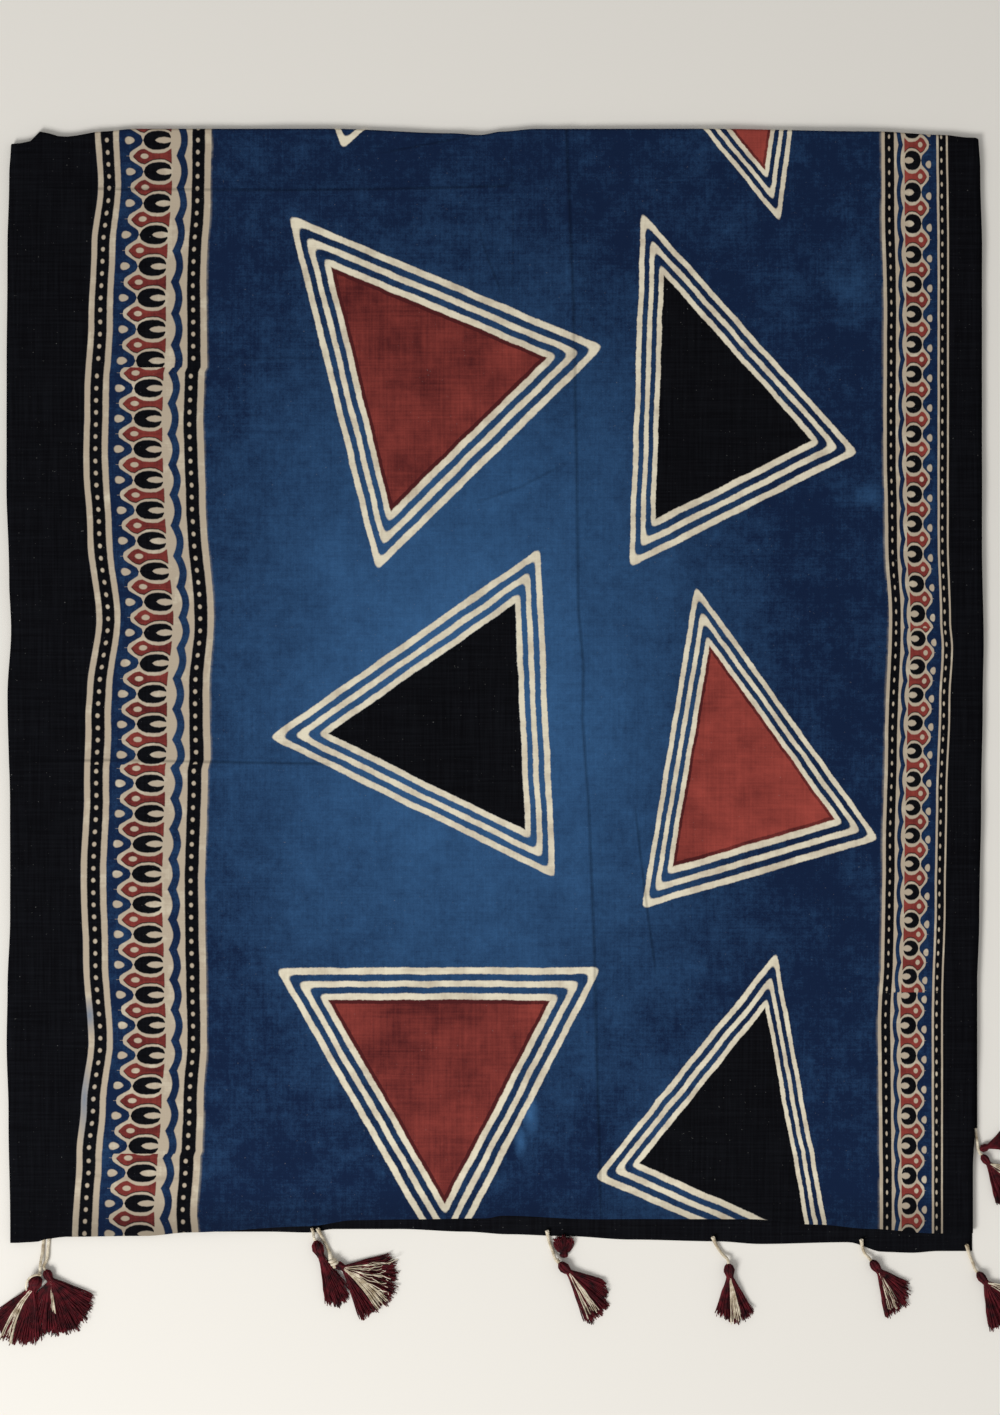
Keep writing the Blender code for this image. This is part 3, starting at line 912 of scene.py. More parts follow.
def puckers(column, row):
    """Short folds across the long crease, where the cloth is gathered a little."""
    first_row, last_row = PUCKER_ROWS
    reach = (1 - abs(column - PUCKER_MIDDLE) / PUCKER_REACH).most(0.0)
    rows = between((row - first_row) / CREASE_FADE, 0, (last_row - first_row) / CREASE_FADE)
    waves = (row * (math.tau / PUCKER_PITCH) + column * PUCKER_SLANT).maths("SINE")
    return waves * reach * rows * PUCKER_HEIGHT


def cotton_bump(shader, where, creases, hem):
    """The weave's threads, and on them the fine creases and the hem's double edge."""
    threads = uneven_threads(shader, where, *WEAVE_WAVES)
    links = {"Strength": WEAVE_STRENGTH, "Distance": WEAVE_DEPTH, "Height": threads}
    weave = shader.node("ShaderNodeBump", None, links)
    heights = creases + hem * HEM_SHARE
    links = {"Strength": 1.0, "Distance": FINE_CREASE_DEPTH, "Height": heights, "Normal": weave}
    return shader.node("ShaderNodeBump", None, links)


def dye_mottling(shader, where):
    """Blotches of several sizes in every dye, round zero."""
    mottling = -0.5 * sum(amount for waves, amount in DYE_MOTTLING)
    for waves, amount in DYE_MOTTLING:
        mottling = noise(shader, where, waves, 3.0, 0.6) * amount + mottling
    return mottling


def indigo_ink(shader, chart, mottling, streaks):
    """The field's blue, with the places where it is worn pale, and painted light brighter in the middle
    of the field.
    """
    worn_and_lit = patches(shader, chart, WORN_AND_LIT_PLACES).most(LEAST_WORN_AND_LIT)
    worn_and_lit = worn_and_lit + mottling + streaks * INDIGO_STREAKS
    return mixed(shader, INDIGO_DARK, INDIGO_WORN_AND_LIT, worn_and_lit.clamped())


def red_ink(shader, where, column, in_border, rim, mottling, streaks):
    """The red, paler towards the right, patchy, and dark along the rims of its fills."""
    past_start = (column - RED_PALING_START).most(0.0)
    paler = past_start * (RED_PALING / RED_PALING_SPAN) * (1 - in_border * BORDER_RED_EVENNESS)
    red_patches = noise(shader, where, RED_PATCH_WAVES, 4.0, 0.6) - 0.5
    brightness = paler + RED_LEVEL - rim * RED_RIM_DARK + red_patches * RED_PATCHES
    brightness = brightness + streaks * RED_STREAKS + mottling * RED_MOTTLING
    return mixed(shader, RED_DARK, RED_BRIGHT, brightness.clamped())


def cream_ink(shader, where, chart, in_border, streaks):
    """The undyed cream, aged unevenly, duller in the borders, with its grey stains."""
    ageing = noise(shader, where, CREAM_WAVES, 3.0, 0.6).times_plus(*CREAM_AGEING)
    ageing = ageing + streaks * CREAM_STREAKS - in_border * BORDER_CREAM_DULLNESS
    cream = mixed(shader, CREAM_STAINED, CREAM, ageing.clamped())
    stains = patches(shader, chart, STAINS).times_plus(STAIN_SHARE, 0.0, clamp=True)
    return mixed(shader, cream, STAIN, stains)


def black_ink(shader, mottling, streaks):
    faded = streaks * BLACK_STREAKS + mottling * BLACK_MOTTLING
    return mixed(shader, BLACK, BLACK_FADED, faded.times_plus(1.0, BLACK_LEVEL, clamp=True))


def printed_cotton():
    """The block print: borders, triangles, black margins and ends, on thin washed cotton, with painted
    shade along its fine creases and where it rolls down to the lower fold.
    """
    shader = Shader("printed_cotton")
    where = shader.node("ShaderNodeTexCoord", None, None, 3)
    border_uv = shader.node("ShaderNodeUVMap", {"uv_map": "border"})
    chart_uv = shader.node("ShaderNodeUVMap", {"uv_map": "chart"})
    from_end = shader.node("ShaderNodeAttribute", {"attribute_name": "from_end"}, None, 2)
    place = coordinate(shader, border_uv, 0)
    column = coordinate(shader, chart_uv, 0)
    row = coordinate(shader, chart_uv, 1)
    in_field = between(place * BORDER_WIDTH, 2 * BORDER_WIDTH, 3 * BORDER_WIDTH)
    in_border = 1 - in_field

    wander_across, wander_along = block_wander(shader, where)
    tile_row = row.wrapped(TILE_TOP, TILE_BOTTOM)
    links = {"X": column + wander_across, "Y": tile_row + wander_along, "Z": 1.0}
    chart = shader.node("ShaderNodeCombineXYZ", None, links)
    border_place = place + wander_across * (BORDER_WANDER / BORDER_WIDTH)
    masks = border_masks(shader, border_place, tile_row + wander_along * BORDER_WANDER)
    border_cream, border_red, shade, border_black, bulb_dot = [mask * in_border for mask in masks]
    *masks, rim = field_masks(shader, chart)
    field_cream, field_red, field_black = [mask * in_field for mask in masks]

    streaks = uneven_threads(shader, where, *STREAK_WAVES)
    mottling = dye_mottling(shader, where)
    ink_red = red_ink(shader, where, column, in_border, rim, mottling, streaks)
    ink_cream = cream_ink(shader, where, chart, in_border, streaks)
    ink_black = black_ink(shader, mottling, streaks)
    margin = 1 - between(place * BORDER_WIDTH, BORDER_WIDTH, 4 * BORDER_WIDTH)
    end_steps = from_end * (1 / STEP)
    colour = indigo_ink(shader, chart, mottling, streaks)
    for ink, mask in (
            (ink_black, field_black.most(border_black)),
            (ink_cream, field_cream.most(border_cream)),
            (ink_black, shade),
            (ink_red, field_red.most(border_red)),
            (ink_cream, bulb_dot),
            (ink_black, margin.most(inked(END_BAND / STEP - end_steps)))):
        colour = mixed(shader, colour, ink, mask)

    flecks = noise(shader, where, LINT_WAVES, 1.0).times_plus(*LINT_CONTRAST, clamp=True)
    colour = mixed(shader, colour, LINT, flecks * LINT_SHARE)
    creases = fine_creases(shader, column, row)
    # Painted shade where the top layer rolls down to the lower fold.
    roll_shade = (row - ROLL_SHADE_START).times_plus(ROLL_SHADE_DARK / ROLL_SHADE_LENGTH, 0.0, clamp=True).least(ROLL_SHADE_DARK)
    # Painted shade: black mixed into the fine creases and over the roll down to the lower fold.
    colour = mixed(shader, colour, BLACK, (creases * CREASE_SHADE_SHARE).most(roll_shade))
    heights = creases + puckers(column, row)
    bump = cotton_bump(shader, where, heights, inked(HEM_STEPS - end_steps))
    shader.surface.inputs["Specular IOR Level"].default_value = COTTON_SHINE
    return shader.finish(Base_Color=colour, Roughness=0.9, Normal=bump)


# The cords: name, the tassel that each ends at, then x, y, z and thickness factor at each point
# before it reaches the tassel's head. Most start at a knot on the lower hem.
CORD_RADIUS = 0.0018
CLEAR = 0.0003
ON_HEM = SHEET + CLEAR + CORD_RADIUS
KNOT = 1.4
KNOT_ON_HEM = SHEET + CLEAR + CORD_RADIUS * KNOT
INNER_HEM_HEIGHT = LAYER_PITCH + SHEET / 2 + 0.0002
CORD_APPROACH = 0.004
CORDS = (
    ("1a", "1a", ((-0.5125, -0.6147, CORD_RADIUS, 1.0), (-0.5140, -0.6380, CORD_RADIUS * 1.15, 1.0),
                  (-0.5160, -0.6550, CORD_RADIUS * 4, 1.0))),
    ("1b", "1b", ((-0.5065, -0.6147, CORD_RADIUS, 1.0), (-0.5080, -0.6370, CORD_RADIUS * 1.15, 1.0),
                  (-0.5095, -0.6500, CORD_RADIUS * 2.0, 1.0))),
    ("2a", "2a", ((-0.2085, -0.6135, ON_HEM, 1.0), (-0.2065, -0.6205, ON_HEM + CLEAR, 1.0))),
    ("2b", "2b", ((-0.2018, -0.6140, KNOT_ON_HEM, KNOT), (-0.1983, -0.6210, ON_HEM, 1.0),
                  (-0.1892, -0.6400, CORD_RADIUS * 1.3, 1.0),
                  (-0.1868, -0.6482, CORD_RADIUS * 2.2, 1.8))),
    ("3", "3a", ((0.0585, -0.6165, KNOT_ON_HEM, KNOT), (0.0600, -0.6250, ON_HEM, 1.0),
                 (0.0645, -0.6390, CORD_RADIUS * 1.3, 1.0))),
    ("4", "4", ((0.2465, -0.6235, KNOT_ON_HEM, KNOT), (0.2500, -0.6320, ON_HEM, 1.0),
                (0.2575, -0.6430, CORD_RADIUS * 1.6, 1.0))),
    ("5", "5", ((0.4150, -0.6265, KNOT_ON_HEM, KNOT), (0.4165, -0.6360, ON_HEM, 1.0),
                (0.4195, -0.6430, CORD_RADIUS * 2, 1.0))),
    ("6", "6", ((0.5345, -0.6325, KNOT_ON_HEM, KNOT), (0.5375, -0.6430, ON_HEM, 1.0),
                (0.5420, -0.6540, CORD_RADIUS * 1.4, 1.0))),
    ("7", "7b", ((0.5446, -0.5007, INNER_HEM_HEIGHT, 1.0), (0.5462, -0.5150, CORD_RADIUS * 2, 1.0))),
)

# A cord's plies and twist.
PLIES = 3
PLY_RADIUS = 0.00094
PLY_AWAY = 0.00088
TWIST_LENGTH = 0.0065
TWIST_STEP = 0.0007
PLY_SIDES = 7

# The tassels: name, head centre x and y, head length and width, the angles between which the
# skirt fans out (0 points down the page, 90 to the right), its length, how much longer its first
# side is than its middle, as a share, and its locks.
Tassel = namedtuple("Tassel", "name x y head_length head_width first last length lean locks")
TASSELS = [Tassel(*row) for row in (
    ("1a", -0.5216, -0.6745, 0.0170, 0.0160, -52, 4, 0.073, 0.00, 12),
    ("1b", -0.5075, -0.6665, 0.0130, 0.0100, -6, 62, 0.068, 0.08, 13),
    ("2a", -0.2012, -0.6358, 0.0180, 0.0130, 9, 32, 0.069, 0.00, 6),
    ("2b", -0.1768, -0.6560, 0.0100, 0.0090, 24, 100, 0.069, 0.04, 12),
    ("3a", 0.0780, -0.6580, 0.0160, 0.0110, 24, 70, 0.064, 0.17, 9),
    ("3b", 0.0775, -0.6432, 0.0060, 0.0090, 150, 212, 0.019, 0.00, 6),
    ("4", 0.2648, -0.6610, 0.0150, 0.0120, -14, 27, 0.0585, -0.06, 8),
    ("5", 0.4305, -0.6560, 0.0150, 0.0100, 13, 62, 0.054, 0.17, 9),
    ("6", 0.5515, -0.6695, 0.0160, 0.0090, 11, 66, 0.060, 0.06, 9),
    ("7a", 0.5545, -0.5222, 0.0100, 0.0080, 88, 132, 0.054, 0.00, 8),
    ("7b", 0.5555, -0.5355, 0.0130, 0.0080, 18, 58, 0.057, 0.00, 7),
)]

# Single locks over the skirts: tassel, yarn, the angles between which their tips lie, how far
# they bend to reach there, their share of the skirt's length, how many guides they follow, the
# strands round each, how much they curl, and the height at which they lie.
LOCKS = (
    ("1a", "cream", -31, -22, -14, 1.00, 3, 9, 0.5, 0.0046),
    ("1b", "cream", 3, 8, 4, 0.62, 3, 5, 0.4, 0.0050),
    ("1b", "maroon", -36, -8, 0, 1.00, 8, 6, 0.5, 0.0036),
    ("2a", "maroon", 30, 38, 0, 0.80, 3, 6, 0.5, 0.0030),
    ("2b", "cream", 40, 53, 10, 0.94, 5, 7, 1.0, 0.0046),
    ("2b", "cream", 58, 98, -6, 0.88, 5, 4, 5.0, 0.0050),
    ("3a", "cream", 24, 36, 6, 0.98, 5, 4, 1.2, 0.0048),
    ("3b", "maroon", 196, 216, 50, 1.00, 4, 6, 0.3, 0.0040),
    ("3b", "maroon", 146, 166, -50, 1.00, 4, 6, 0.3, 0.0040),
    ("4", "cream", 3, 13, 2, 0.98, 4, 9, 0.4, 0.0050),
    ("5", "cream", 17, 29, 6, 0.94, 4, 4, 0.8, 0.0046),
    ("6", "cream", 56, 74, 0, 0.90, 4, 5, 2.5, 0.0046),
    ("7b", "cream", 50, 76, 0, 0.85, 4, 5, 1.6, 0.0046),
)

# Cream ends that pass over the heads: name, then x, y, z and thickness factor at each point.
CREAM_ENDS = (
    ("1a", ((-0.5142, -0.6650, 0.0115, 0.72), (-0.5200, -0.6645, 0.0130, 0.72),
            (-0.5276, -0.6686, 0.0125, 0.72), (-0.5312, -0.6765, 0.0105, 0.68),
            (-0.5312, -0.6850, 0.0068, 0.60))),
)
# The knots beside the heads: name, centre x, y and z, the angle that it lies at, and its width.
KNOTS = (
    ("2b", -0.1832, -0.6522, 0.0058, 38, 0.0098),
    ("3", 0.0705, -0.6500, 0.0056, 44, 0.0054),
)
KNOT_TURNS = 2.0
KNOT_THREAD = 0.2

# How the skirt's strands leave the head: guides for each lock, with their angle round the head's
# axis in degrees (90 is on top) and the height at which they lie on the surface.
GUIDE_ROUNDS = ((-35, 0.0008), (15, 0.0013), (65, 0.0030), (115, 0.0034), (165, 0.0015), (215, 0.0008))
# Places along the head: share of its length from the middle, and share of its half width.
HEAD_PROFILE = ((-0.50, 0.10), (-0.40, 0.56), (-0.18, 0.90), (0.06, 0.93), (0.27, 0.70), (0.42, 0.46))
SKIRT_SHARES = (0.30, 0.50, 0.75, 1.0)
LOCK_ROOT_FORWARD = 0.22
OUTER_LOCK_SHORTENING = 0.10
SECOND_LOCK_SHORTENING = 0.04
SECOND_GUIDE_SHORTENING = 0.08
GUIDE_NUDGE = 0.4
LOCK_ROUNDS = (75, 90, 105)
LOCK_SPREAD = 0.6
FIRST_LOCK_SEED = 40
STRANDS_IN_GUIDE = 6
STRAND_RADIUS = 0.00048
STRAND_POINTS = 15
STRAND_SPREAD = 0.0032
STRAND_CURL = 0.0022
STRAND_SIDES = 4
# The shortest strand as a share of the longest, the share of each that lies round the head, how
# far it spreads there as a share, the curl's waves per metre and how much they differ from
# strand to strand, and the least height in radii.
SHORTEST_STRAND = 0.91
HEAD_SHARE = 0.2
SPREAD_IN_HEAD = 0.15
CURL_WAVES = 70.0
CURL_DIFFERENCE = 9.0
LEAST_HEIGHT = 1.1
# The head's core, its neck and the wraps, as shares of the head's length and width.
HEAD_CORE = 0.84
NECK_FORWARD = 0.40
NECK_WIDTH = 0.54
WRAP_TURNS = 4
WRAP_RADIUS = 0.0005
COIL_STEPS = 12
# How far a coil goes forward in each turn, in radii of its thread.
COIL_PITCH = 2.1


def page_direction(degrees):
    """A level direction: 0 points down the page, along -Y, and 90 along +X."""
    angle = math.radians(degrees)
    return Vector((math.sin(angle), -math.cos(angle), 0))


def tassel_called(name):
    return next(tassel for tassel in TASSELS if tassel.name == name)


def head_frame(tassel):
    """The middle of a tassel's head, the level way that it points, and the level way across it."""
    axis = page_direction((tassel.first + tassel.last) / 2)
    centre = Vector((tassel.x, tassel.y, tassel.head_width / 2))
    return centre, axis, Vector((axis.y, -axis.x, 0))


def way_round(side, angle):
    """The way out from an axis at an angle round it, from level at 0 to up at a quarter turn."""
    return side * math.cos(angle) + Vector((0, 0, math.sin(angle)))


def cord_end(tassel):
    """The last two points of a cord, which meets the middle of its tassel's head end on."""
    centre, axis, side = head_frame(tassel)
    end = centre - axis * (tassel.head_length / 2 + CLEAR)
    approach = end - axis * CORD_APPROACH
    return [(*approach, 1.0), (*end, 1.0)]


def twisted_cord_shape():
    """Plies twisted round a curve."""
    shape = Shape("twisted_cord")
    curve = Value(shape, shape.source.outputs["Geometry"])
    ply_radius = shape.input("Ply radius", "Float")
    away = shape.input("Ply distance", "Float")
    twist = shape.input("Twist length", "Float")
    material = shape.input("Material", "Material")
    sampled = shape.node(
        "GeometryNodeResampleCurve", {"mode": "LENGTH"}, {"Curve": curve, "Length": TWIST_STEP})
    copies = shape.node(
        "GeometryNodeDuplicateElements", {"domain": "SPLINE"}, {"Geometry": sampled, "Amount": PLIES})
    index = Value(shape, copies.socket.node.outputs["Duplicate Index"])
    named = shape.node(
        "GeometryNodeStoreNamedAttribute", {"data_type": "FLOAT", "domain": "CURVE"},
        {"Geometry": copies, "Name": "ply", "Value": index})
    ply = shape.node("GeometryNodeInputNamedAttribute", {"data_type": "FLOAT"}, {"Name": "ply"})
    along = shape.node("GeometryNodeSplineParameter", None, None, 1)
    turn = along / twist * math.tau + ply * (math.tau / PLIES)
    normal = shape.node("GeometryNodeInputNormal")
    tangent = shape.node("GeometryNodeInputTangent")
    side = vector_maths(shape, "CROSS_PRODUCT", normal, tangent)
    radius = shape.node("GeometryNodeInputRadius")
    out = scaled(shape, normal, turn.maths("COSINE") * away * radius)
    over = scaled(shape, side, turn.maths("SINE") * away * radius)
    moved = shape.node(
        "GeometryNodeSetPosition", None,
        {"Geometry": named, "Offset": vector_maths(shape, "ADD", out, over)})
    circle = shape.node(
        "GeometryNodeCurvePrimitiveCircle", None, {"Resolution": PLY_SIDES, "Radius": ply_radius})
    plies = shape.node(
        "GeometryNodeCurveToMesh", None,
        {"Curve": moved, "Profile Curve": circle, "Scale": radius, "Fill Caps": True})
    shape.finish(plies, material)
    return shape


def yarn_strands_shape():
    """Loose yarn strands round guide curves, which spread and curl towards their tips."""
    shape = Shape("yarn_strands")
    guides = Value(shape, shape.source.outputs["Geometry"])
    strands = shape.input("Strands", "Int")
    thickness = shape.input("Strand radius", "Float")
    spread = shape.input("Spread at the tip", "Float")
    curl = shape.input("Curl at the tip", "Float")
    seed = shape.input("Seed", "Int")
    material = shape.input("Material", "Material")
    smooth = shape.node(
        "GeometryNodeCurveSplineType", {"spline_type": "CATMULL_ROM"}, {"Curve": guides})
    copies = shape.node(
        "GeometryNodeDuplicateElements", {"domain": "SPLINE"}, {"Geometry": smooth, "Amount": strands})
    chance = shape.node(
        "FunctionNodeRandomValue", {"data_type": "FLOAT_VECTOR"},
        {"Min": (-1.0, -1.0, -1.0), "Max": (1.0, 1.0, 1.0), "Seed": seed})
    named = shape.node(
        "GeometryNodeStoreNamedAttribute", {"data_type": "FLOAT_VECTOR", "domain": "CURVE"},
        {"Geometry": copies, "Name": "strand_place", "Value": chance})
    shortening = shape.node(
        "FunctionNodeRandomValue", {"data_type": "FLOAT"},
        {"Min_001": SHORTEST_STRAND, "Max_001": 1.0, "Seed": seed}, 1)
    trimmed = shape.node(
        "GeometryNodeTrimCurve", {"mode": "FACTOR"}, {"Curve": named, "End": shortening})
    sampled = shape.node(
        "GeometryNodeResampleCurve", {"mode": "COUNT"}, {"Curve": trimmed, "Count": STRAND_POINTS})
    own = shape.node(
        "GeometryNodeInputNamedAttribute", {"data_type": "FLOAT_VECTOR"}, {"Name": "strand_place"})
    share = shape.node("GeometryNodeSplineParameter")
    past_head = ((share - HEAD_SHARE) / (1 - HEAD_SHARE)).most(0.0)
    apart = (past_head * (1 - SPREAD_IN_HEAD) + SPREAD_IN_HEAD) * spread
    place = shape.node("GeometryNodeInputPosition")
    wave_place = vector_maths(
        shape, "ADD", scaled(shape, place, CURL_WAVES), scaled(shape, own, CURL_DIFFERENCE))
    wave = shape.node(
        "ShaderNodeTexNoise", {"noise_dimensions": "3D"},
        {"Vector": wave_place, "Scale": 1.0, "Detail": 1.5}, 1)
    wave = vector_maths(shape, "SUBTRACT", wave, (0.5, 0.5, 0.5))
    offset = vector_maths(
        shape, "ADD", scaled(shape, own, apart), scaled(shape, wave, past_head * curl * 2.0))
    target = vector_maths(shape, "ADD", place, offset)
    height = coordinate(shape, target, 2).most(thickness * LEAST_HEIGHT)
    links = {"X": coordinate(shape, target, 0), "Y": coordinate(shape, target, 1), "Z": height}
    target = shape.node("ShaderNodeCombineXYZ", None, links)
    moved = shape.node("GeometryNodeSetPosition", None, {"Geometry": sampled, "Position": target})
    circle = shape.node(
        "GeometryNodeCurvePrimitiveCircle", None, {"Resolution": STRAND_SIDES, "Radius": thickness})
    tubes = shape.node(
        "GeometryNodeCurveToMesh", None,
        {"Curve": moved, "Profile Curve": circle, "Scale": 1.0, "Fill Caps": True})
    shape.finish(tubes, material)
    return shape


def new_curve(name, kind):
    """An empty curve with one spline, and that spline."""
    curve = bpy.data.curves.new(name, "CURVE")
    curve.dimensions = "3D"
    return curve, curve.splines.new(kind)


def add_bezier(name, stations):
    """A smooth curve through stations of x, y, z and radius factor."""
    curve, spline = new_curve(name, "BEZIER")
    spline.bezier_points.add(len(stations) - 1)
    for point, (x, y, z, factor) in zip(spline.bezier_points, stations):
        point.co = (x, y, z)
        point.radius = factor
        point.handle_left_type = "AUTO"
        point.handle_right_type = "AUTO"
    return add_object(name, curve)


def add_guides(name, routes):
    """One curve object with a straight-sided spline for each route."""
    curve = bpy.data.curves.new(name, "CURVE")
    curve.dimensions = "3D"
    for route in routes:
        spline = curve.splines.new("POLY")
        spline.points.add(len(route) - 1)
        for point, place in zip(spline.points, route):
            point.co = (*place, 1.0)
            point.radius = 1.0
    return add_object(name, curve)


def guide_route(tassel, degrees, bend, length, round_degrees, lie_height):
    """One guide: over the head from the cord's end, in at the neck, and out along the surface."""
    centre, axis, side = head_frame(tassel)
    around = way_round(side, math.radians(round_degrees))
    route = []
    for share, width in HEAD_PROFILE:
        forward = axis * (tassel.head_length * share)
        route.append(centre + forward + around * (width * tassel.head_width / 2))
    root = centre + axis * (tassel.head_length * LOCK_ROOT_FORWARD)
    neck_height = route[-1].z
    for share in SKIRT_SHARES:
        place = root + page_direction(degrees + bend * (1 - share)) * (length * share)
        place.z = lie_height + (neck_height - lie_height) * (1 - share) ** 3
        route.append(place)
    return route


def skirt_routes(tassel):
    """The guides of a tassel's maroon skirt."""
    fan = tassel.last - tassel.first
    routes = []
    for index in range(tassel.locks):
        share = index / (tassel.locks - 1)
        shortening = OUTER_LOCK_SHORTENING * abs(2 * share - 1) + SECOND_LOCK_SHORTENING * (index % 2)
        length = tassel.length * (1 + tassel.lean * (1 - 2 * share) - shortening)
        for turn, (round_degrees, lie_height) in enumerate(GUIDE_ROUNDS):
            nudge = (turn / len(GUIDE_ROUNDS) - GUIDE_NUDGE) * fan / tassel.locks
            degrees = tassel.first + fan * share + nudge
            routes.append(guide_route(tassel, degrees, 0, length, round_degrees, lie_height))
    return routes


def lock_routes(tassel, first, last, bend, length_share, guides, lie_height):
    """The guides of a single lock, from the neck, where its strands come out of the wrap."""
    routes = []
    for index in range(guides):
        degrees = first + (last - first) * index / (guides - 1)
        length = tassel.length * length_share * (1 - SECOND_GUIDE_SHORTENING * (index % 2))
        round_degrees = LOCK_ROUNDS[index % len(LOCK_ROUNDS)]
        route = guide_route(tassel, degrees, bend, length, round_degrees, lie_height)
        routes.append(route[len(HEAD_PROFILE) - 1:])
    return routes


def add_head_core(mesh, tassel):
    """The plain wound middle of a tassel's head, which the strands lie round."""
    centre, axis, side = head_frame(tassel)
    turned = Matrix.Rotation(math.atan2(axis.y, axis.x), 4, "Z")
    width = tassel.head_width * HEAD_CORE
    size = Matrix.Diagonal((tassel.head_length * HEAD_CORE, width, width, 1))
    work = bmesh.new()
    work.from_mesh(mesh)
    bmesh.ops.create_uvsphere(
        work, u_segments=20, v_segments=12, radius=0.5, matrix=Matrix.Translation(centre) @ turned @ size)
    work.to_mesh(mesh)
    work.free()


def add_coil(name, centre, axis, radius, thread, turns, material, slot):
    """A tight coil of thread round an axis, such as the wrap round a neck."""
    side = Vector((axis.y, -axis.x, 0))
    stations = []
    steps = round(turns * COIL_STEPS)
    for step in range(steps + 1):
        forward = (step / steps - 0.5) * turns * thread * COIL_PITCH
        around = way_round(side, math.tau * step / COIL_STEPS)
        stations.append(centre + axis * forward + around * radius)
    guide = add_guides("coil_guide", [stations])
    guide.data.bevel_depth = thread
    guide.data.bevel_resolution = 1
    guide.data.use_fill_caps = True
    mesh = evaluated_mesh(guide)
    mesh.materials.clear()
    mesh.materials.append(material)
    dress(add_object(name, mesh), slot)


def add_neck_wrap(tassel, maroon):
    """The thread wound round the neck, between the head and the skirt."""
    centre, axis, side = head_frame(tassel)
    neck = centre + axis * (tassel.head_length * NECK_FORWARD)
    radius = tassel.head_width * NECK_WIDTH / 2 + STRAND_RADIUS
    name = "neck_wrap_" + tassel.name
    add_coil(name, neck, axis, radius, WRAP_RADIUS, WRAP_TURNS, maroon, "maroon_yarn")


def dress(piece, slot, nodes=()):
    """Hands a finished piece to the frame."""
    if nodes:
        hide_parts(*nodes)
    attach(piece, "root")


def add_cords(cream):
    shape = twisted_cord_shape()
    values = {
        "Ply radius": PLY_RADIUS, "Ply distance": PLY_AWAY,
        "Twist length": TWIST_LENGTH, "Material": cream,
    }
    for name, tassel_name, route in CORDS:
        source = add_bezier("cord_route", list(route) + cord_end(tassel_called(tassel_name)))
        piece = add_object("twisted_cord_" + name, shape.shaped(source, values))
        dress(piece, "cream_cord", ["tassel_cord_" + name])
    for name, route in CREAM_ENDS:
        mesh = shape.shaped(add_bezier("cream_end_route", route), values)
        dress(add_object("cream_end_" + name, mesh), "cream_cord")
    for name, x, y, z, degrees, width in KNOTS:
        thread = width * KNOT_THREAD
        centre = Vector((x, y, z))
        axis = page_direction(degrees)
        add_coil(
            "cord_knot_" + name, centre, axis, width / 2 - thread, thread, KNOT_TURNS, cream,
            "cream_cord")


def strand_values(strands, spread, curl, seed, material):
    """What the strands' tree takes, with the spread and the curl as shares of a skirt's."""
    return {
        "Strands": strands, "Strand radius": STRAND_RADIUS,
        "Spread at the tip": STRAND_SPREAD * spread, "Curl at the tip": STRAND_CURL * curl,
        "Seed": seed, "Material": material,
    }


def add_tassels(maroon, cream):
    shape = yarn_strands_shape()
    for seed, tassel in enumerate(TASSELS):
        values = strand_values(STRANDS_IN_GUIDE, 1, 1, seed, maroon)
        mesh = shape.shaped(add_guides("skirt_guides", skirt_routes(tassel)), values)
        add_head_core(mesh, tassel)
        piece = add_object("yarn_tassel_" + tassel.name, mesh)
        dress(piece, "maroon_yarn", ["tassel_" + tassel.name])
        add_neck_wrap(tassel, maroon)
    yarns = {"cream": (cream, "cream_cord"), "maroon": (maroon, "maroon_yarn")}
    for number, lock in enumerate(LOCKS):
        name, colour, first, last, bend, length_share, guides, strands, curl, lie_height = lock
        material, slot = yarns[colour]
        values = strand_values(strands, LOCK_SPREAD, curl, FIRST_LOCK_SEED + number, material)
        routes = lock_routes(
            tassel_called(name), first, last, bend, length_share, guides, lie_height)
        mesh = shape.shaped(add_guides("lock_guides", routes), values)
        dress(add_object("%s_lock_%d" % (colour, number + 1), mesh), slot)


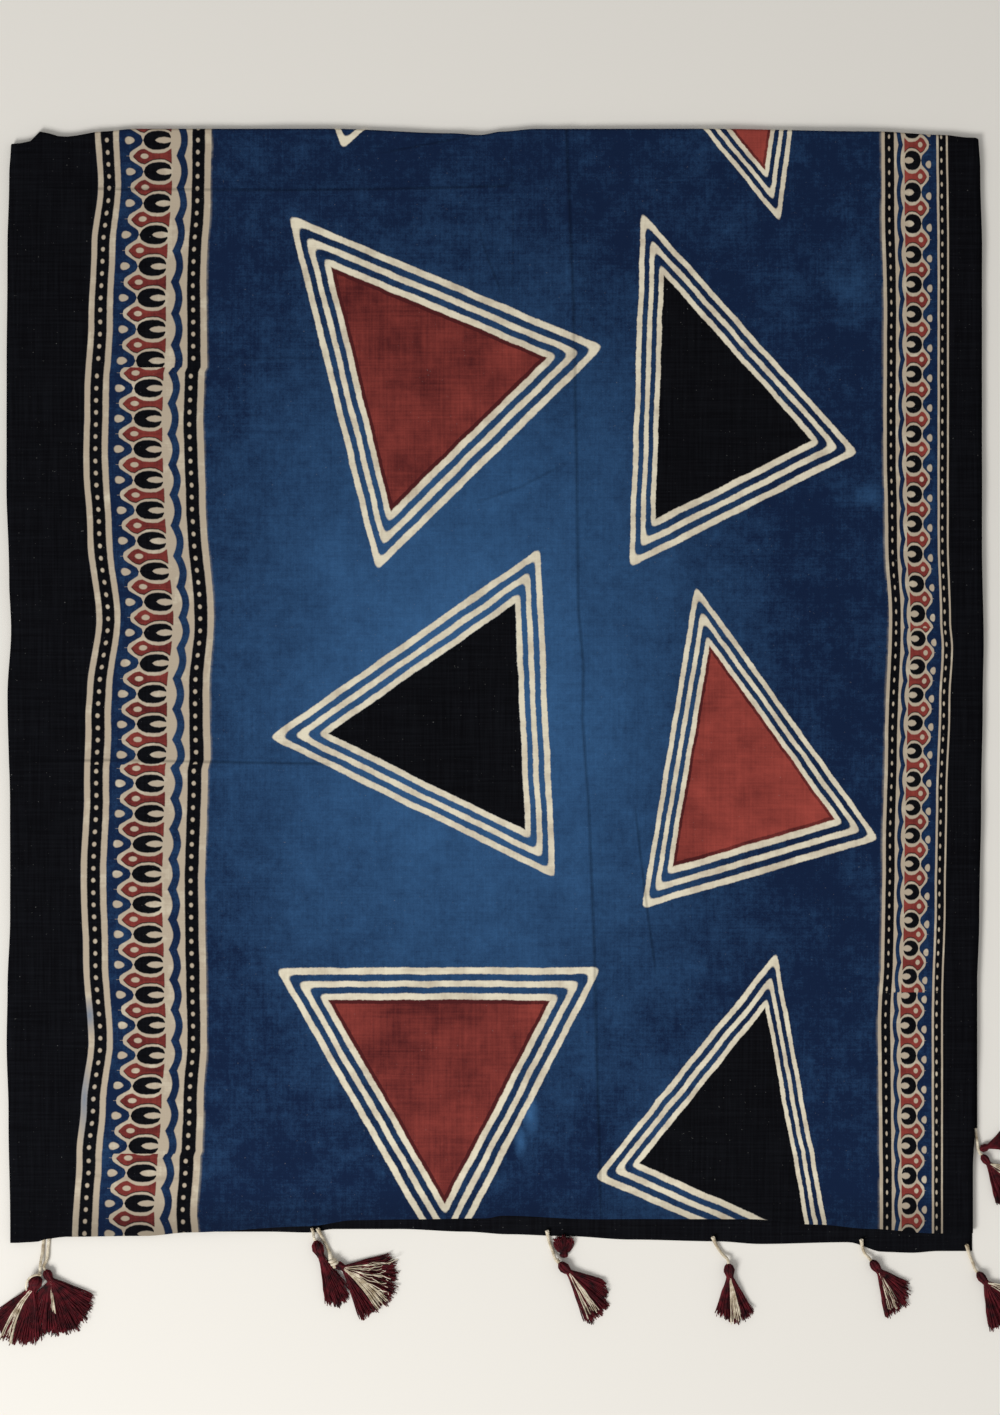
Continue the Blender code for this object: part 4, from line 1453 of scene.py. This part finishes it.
def yarn(name, dark, light, roughness):
    """Spun cotton yarn: fine streaks and fluff, from its object's own coordinates; its blotches from dark
    to light are partly random tone and partly painted shade between the locks.
    """
    shader = Shader(name)
    shader.surface.inputs["Specular IOR Level"].default_value = YARN_SHINE
    where = shader.node("ShaderNodeTexCoord", None, None, 3)
    # Blotches from the dark colour to the light one: partly random tone, partly painted shade between the
    # locks.
    tone_and_shade = noise(shader, where, YARN_TONE_AND_SHADE_WAVES, 3.0, 0.6).times_plus(*YARN_TONE_AND_SHADE_CONTRAST, clamp=True)
    fibres = noise(shader, where, FIBRE_WAVES, 2.0, 0.6)
    colour = mixed(shader, dark, light, tone_and_shade)
    links = {"Strength": 0.5, "Distance": FIBRE_DEPTH, "Height": fibres}
    bump = shader.node("ShaderNodeBump", None, links)
    return shader.finish(Base_Color=colour, Roughness=roughness, Normal=bump)


# The camera over the cloth, and the lights round it.
CAMERA_PLACE = (0.0050, -0.0227, 3.0)
CAMERA_LENS = 67.19
KEY_PLACE = (-2.3, -2.9, 3.3)
KEY_SIZE = 2.0
KEY_POWER = 190
ROOM_LIGHT = 0.50
FLOOR_REACH = 6
FLOOR_COLOUR = paint(226, 222, 214)


def add_camera():
    camera = add_object("camera", bpy.data.cameras.new("camera"))
    camera.location = CAMERA_PLACE
    camera.data.lens = CAMERA_LENS
    camera.data.clip_end = 50
    bpy.context.scene.camera = camera


def add_lights():
    """One large soft light from the lower left, and an even pale room."""
    key = add_object("key_light", bpy.data.lights.new("key_light", "AREA"))
    key.data.shape = "DISK"
    key.data.size = KEY_SIZE
    key.data.energy = KEY_POWER
    key.location = KEY_PLACE
    key.rotation_euler = (-key.location).to_track_quat("-Z", "Y").to_euler()
    world = bpy.data.worlds.new("pale_room")
    world.use_nodes = True
    world.node_tree.nodes["Background"].inputs["Color"].default_value = (1.0, 1.0, 1.0, 1.0)
    world.node_tree.nodes["Background"].inputs["Strength"].default_value = ROOM_LIGHT
    bpy.context.scene.world = world
    bpy.context.scene.view_settings.view_transform = "Standard"


def add_floor():
    mesh = bpy.data.meshes.new("floor")
    corners = [(x * FLOOR_REACH, y * FLOOR_REACH, 0) for x, y in ((-1, -1), (1, -1), (1, 1), (-1, 1))]
    mesh.from_pydata(corners, [], [(0, 1, 2, 3)])
    shader = Shader("pale_floor")
    mesh.materials.append(shader.finish(Base_Color=FLOOR_COLOUR, Roughness=0.9))
    add_object("floor", mesh)


def main():
    add_camera()
    add_lights()
    add_floor()
    cloth = make_cloth()
    cloth.data.materials.append(printed_cotton())
    dress(cloth, "printed_cotton", ["ajrakh_cloth"])
    # Each yarn's dark colour stands partly for painted shade between the locks.
    cream = yarn("cream_yarn", paint(150, 132, 104), paint(236, 226, 204), 0.85)
    maroon = yarn("maroon_yarn", paint(22, 3, 7), paint(98, 18, 28), 0.8)
    add_cords(cream)
    add_tassels(maroon, cream)


main()
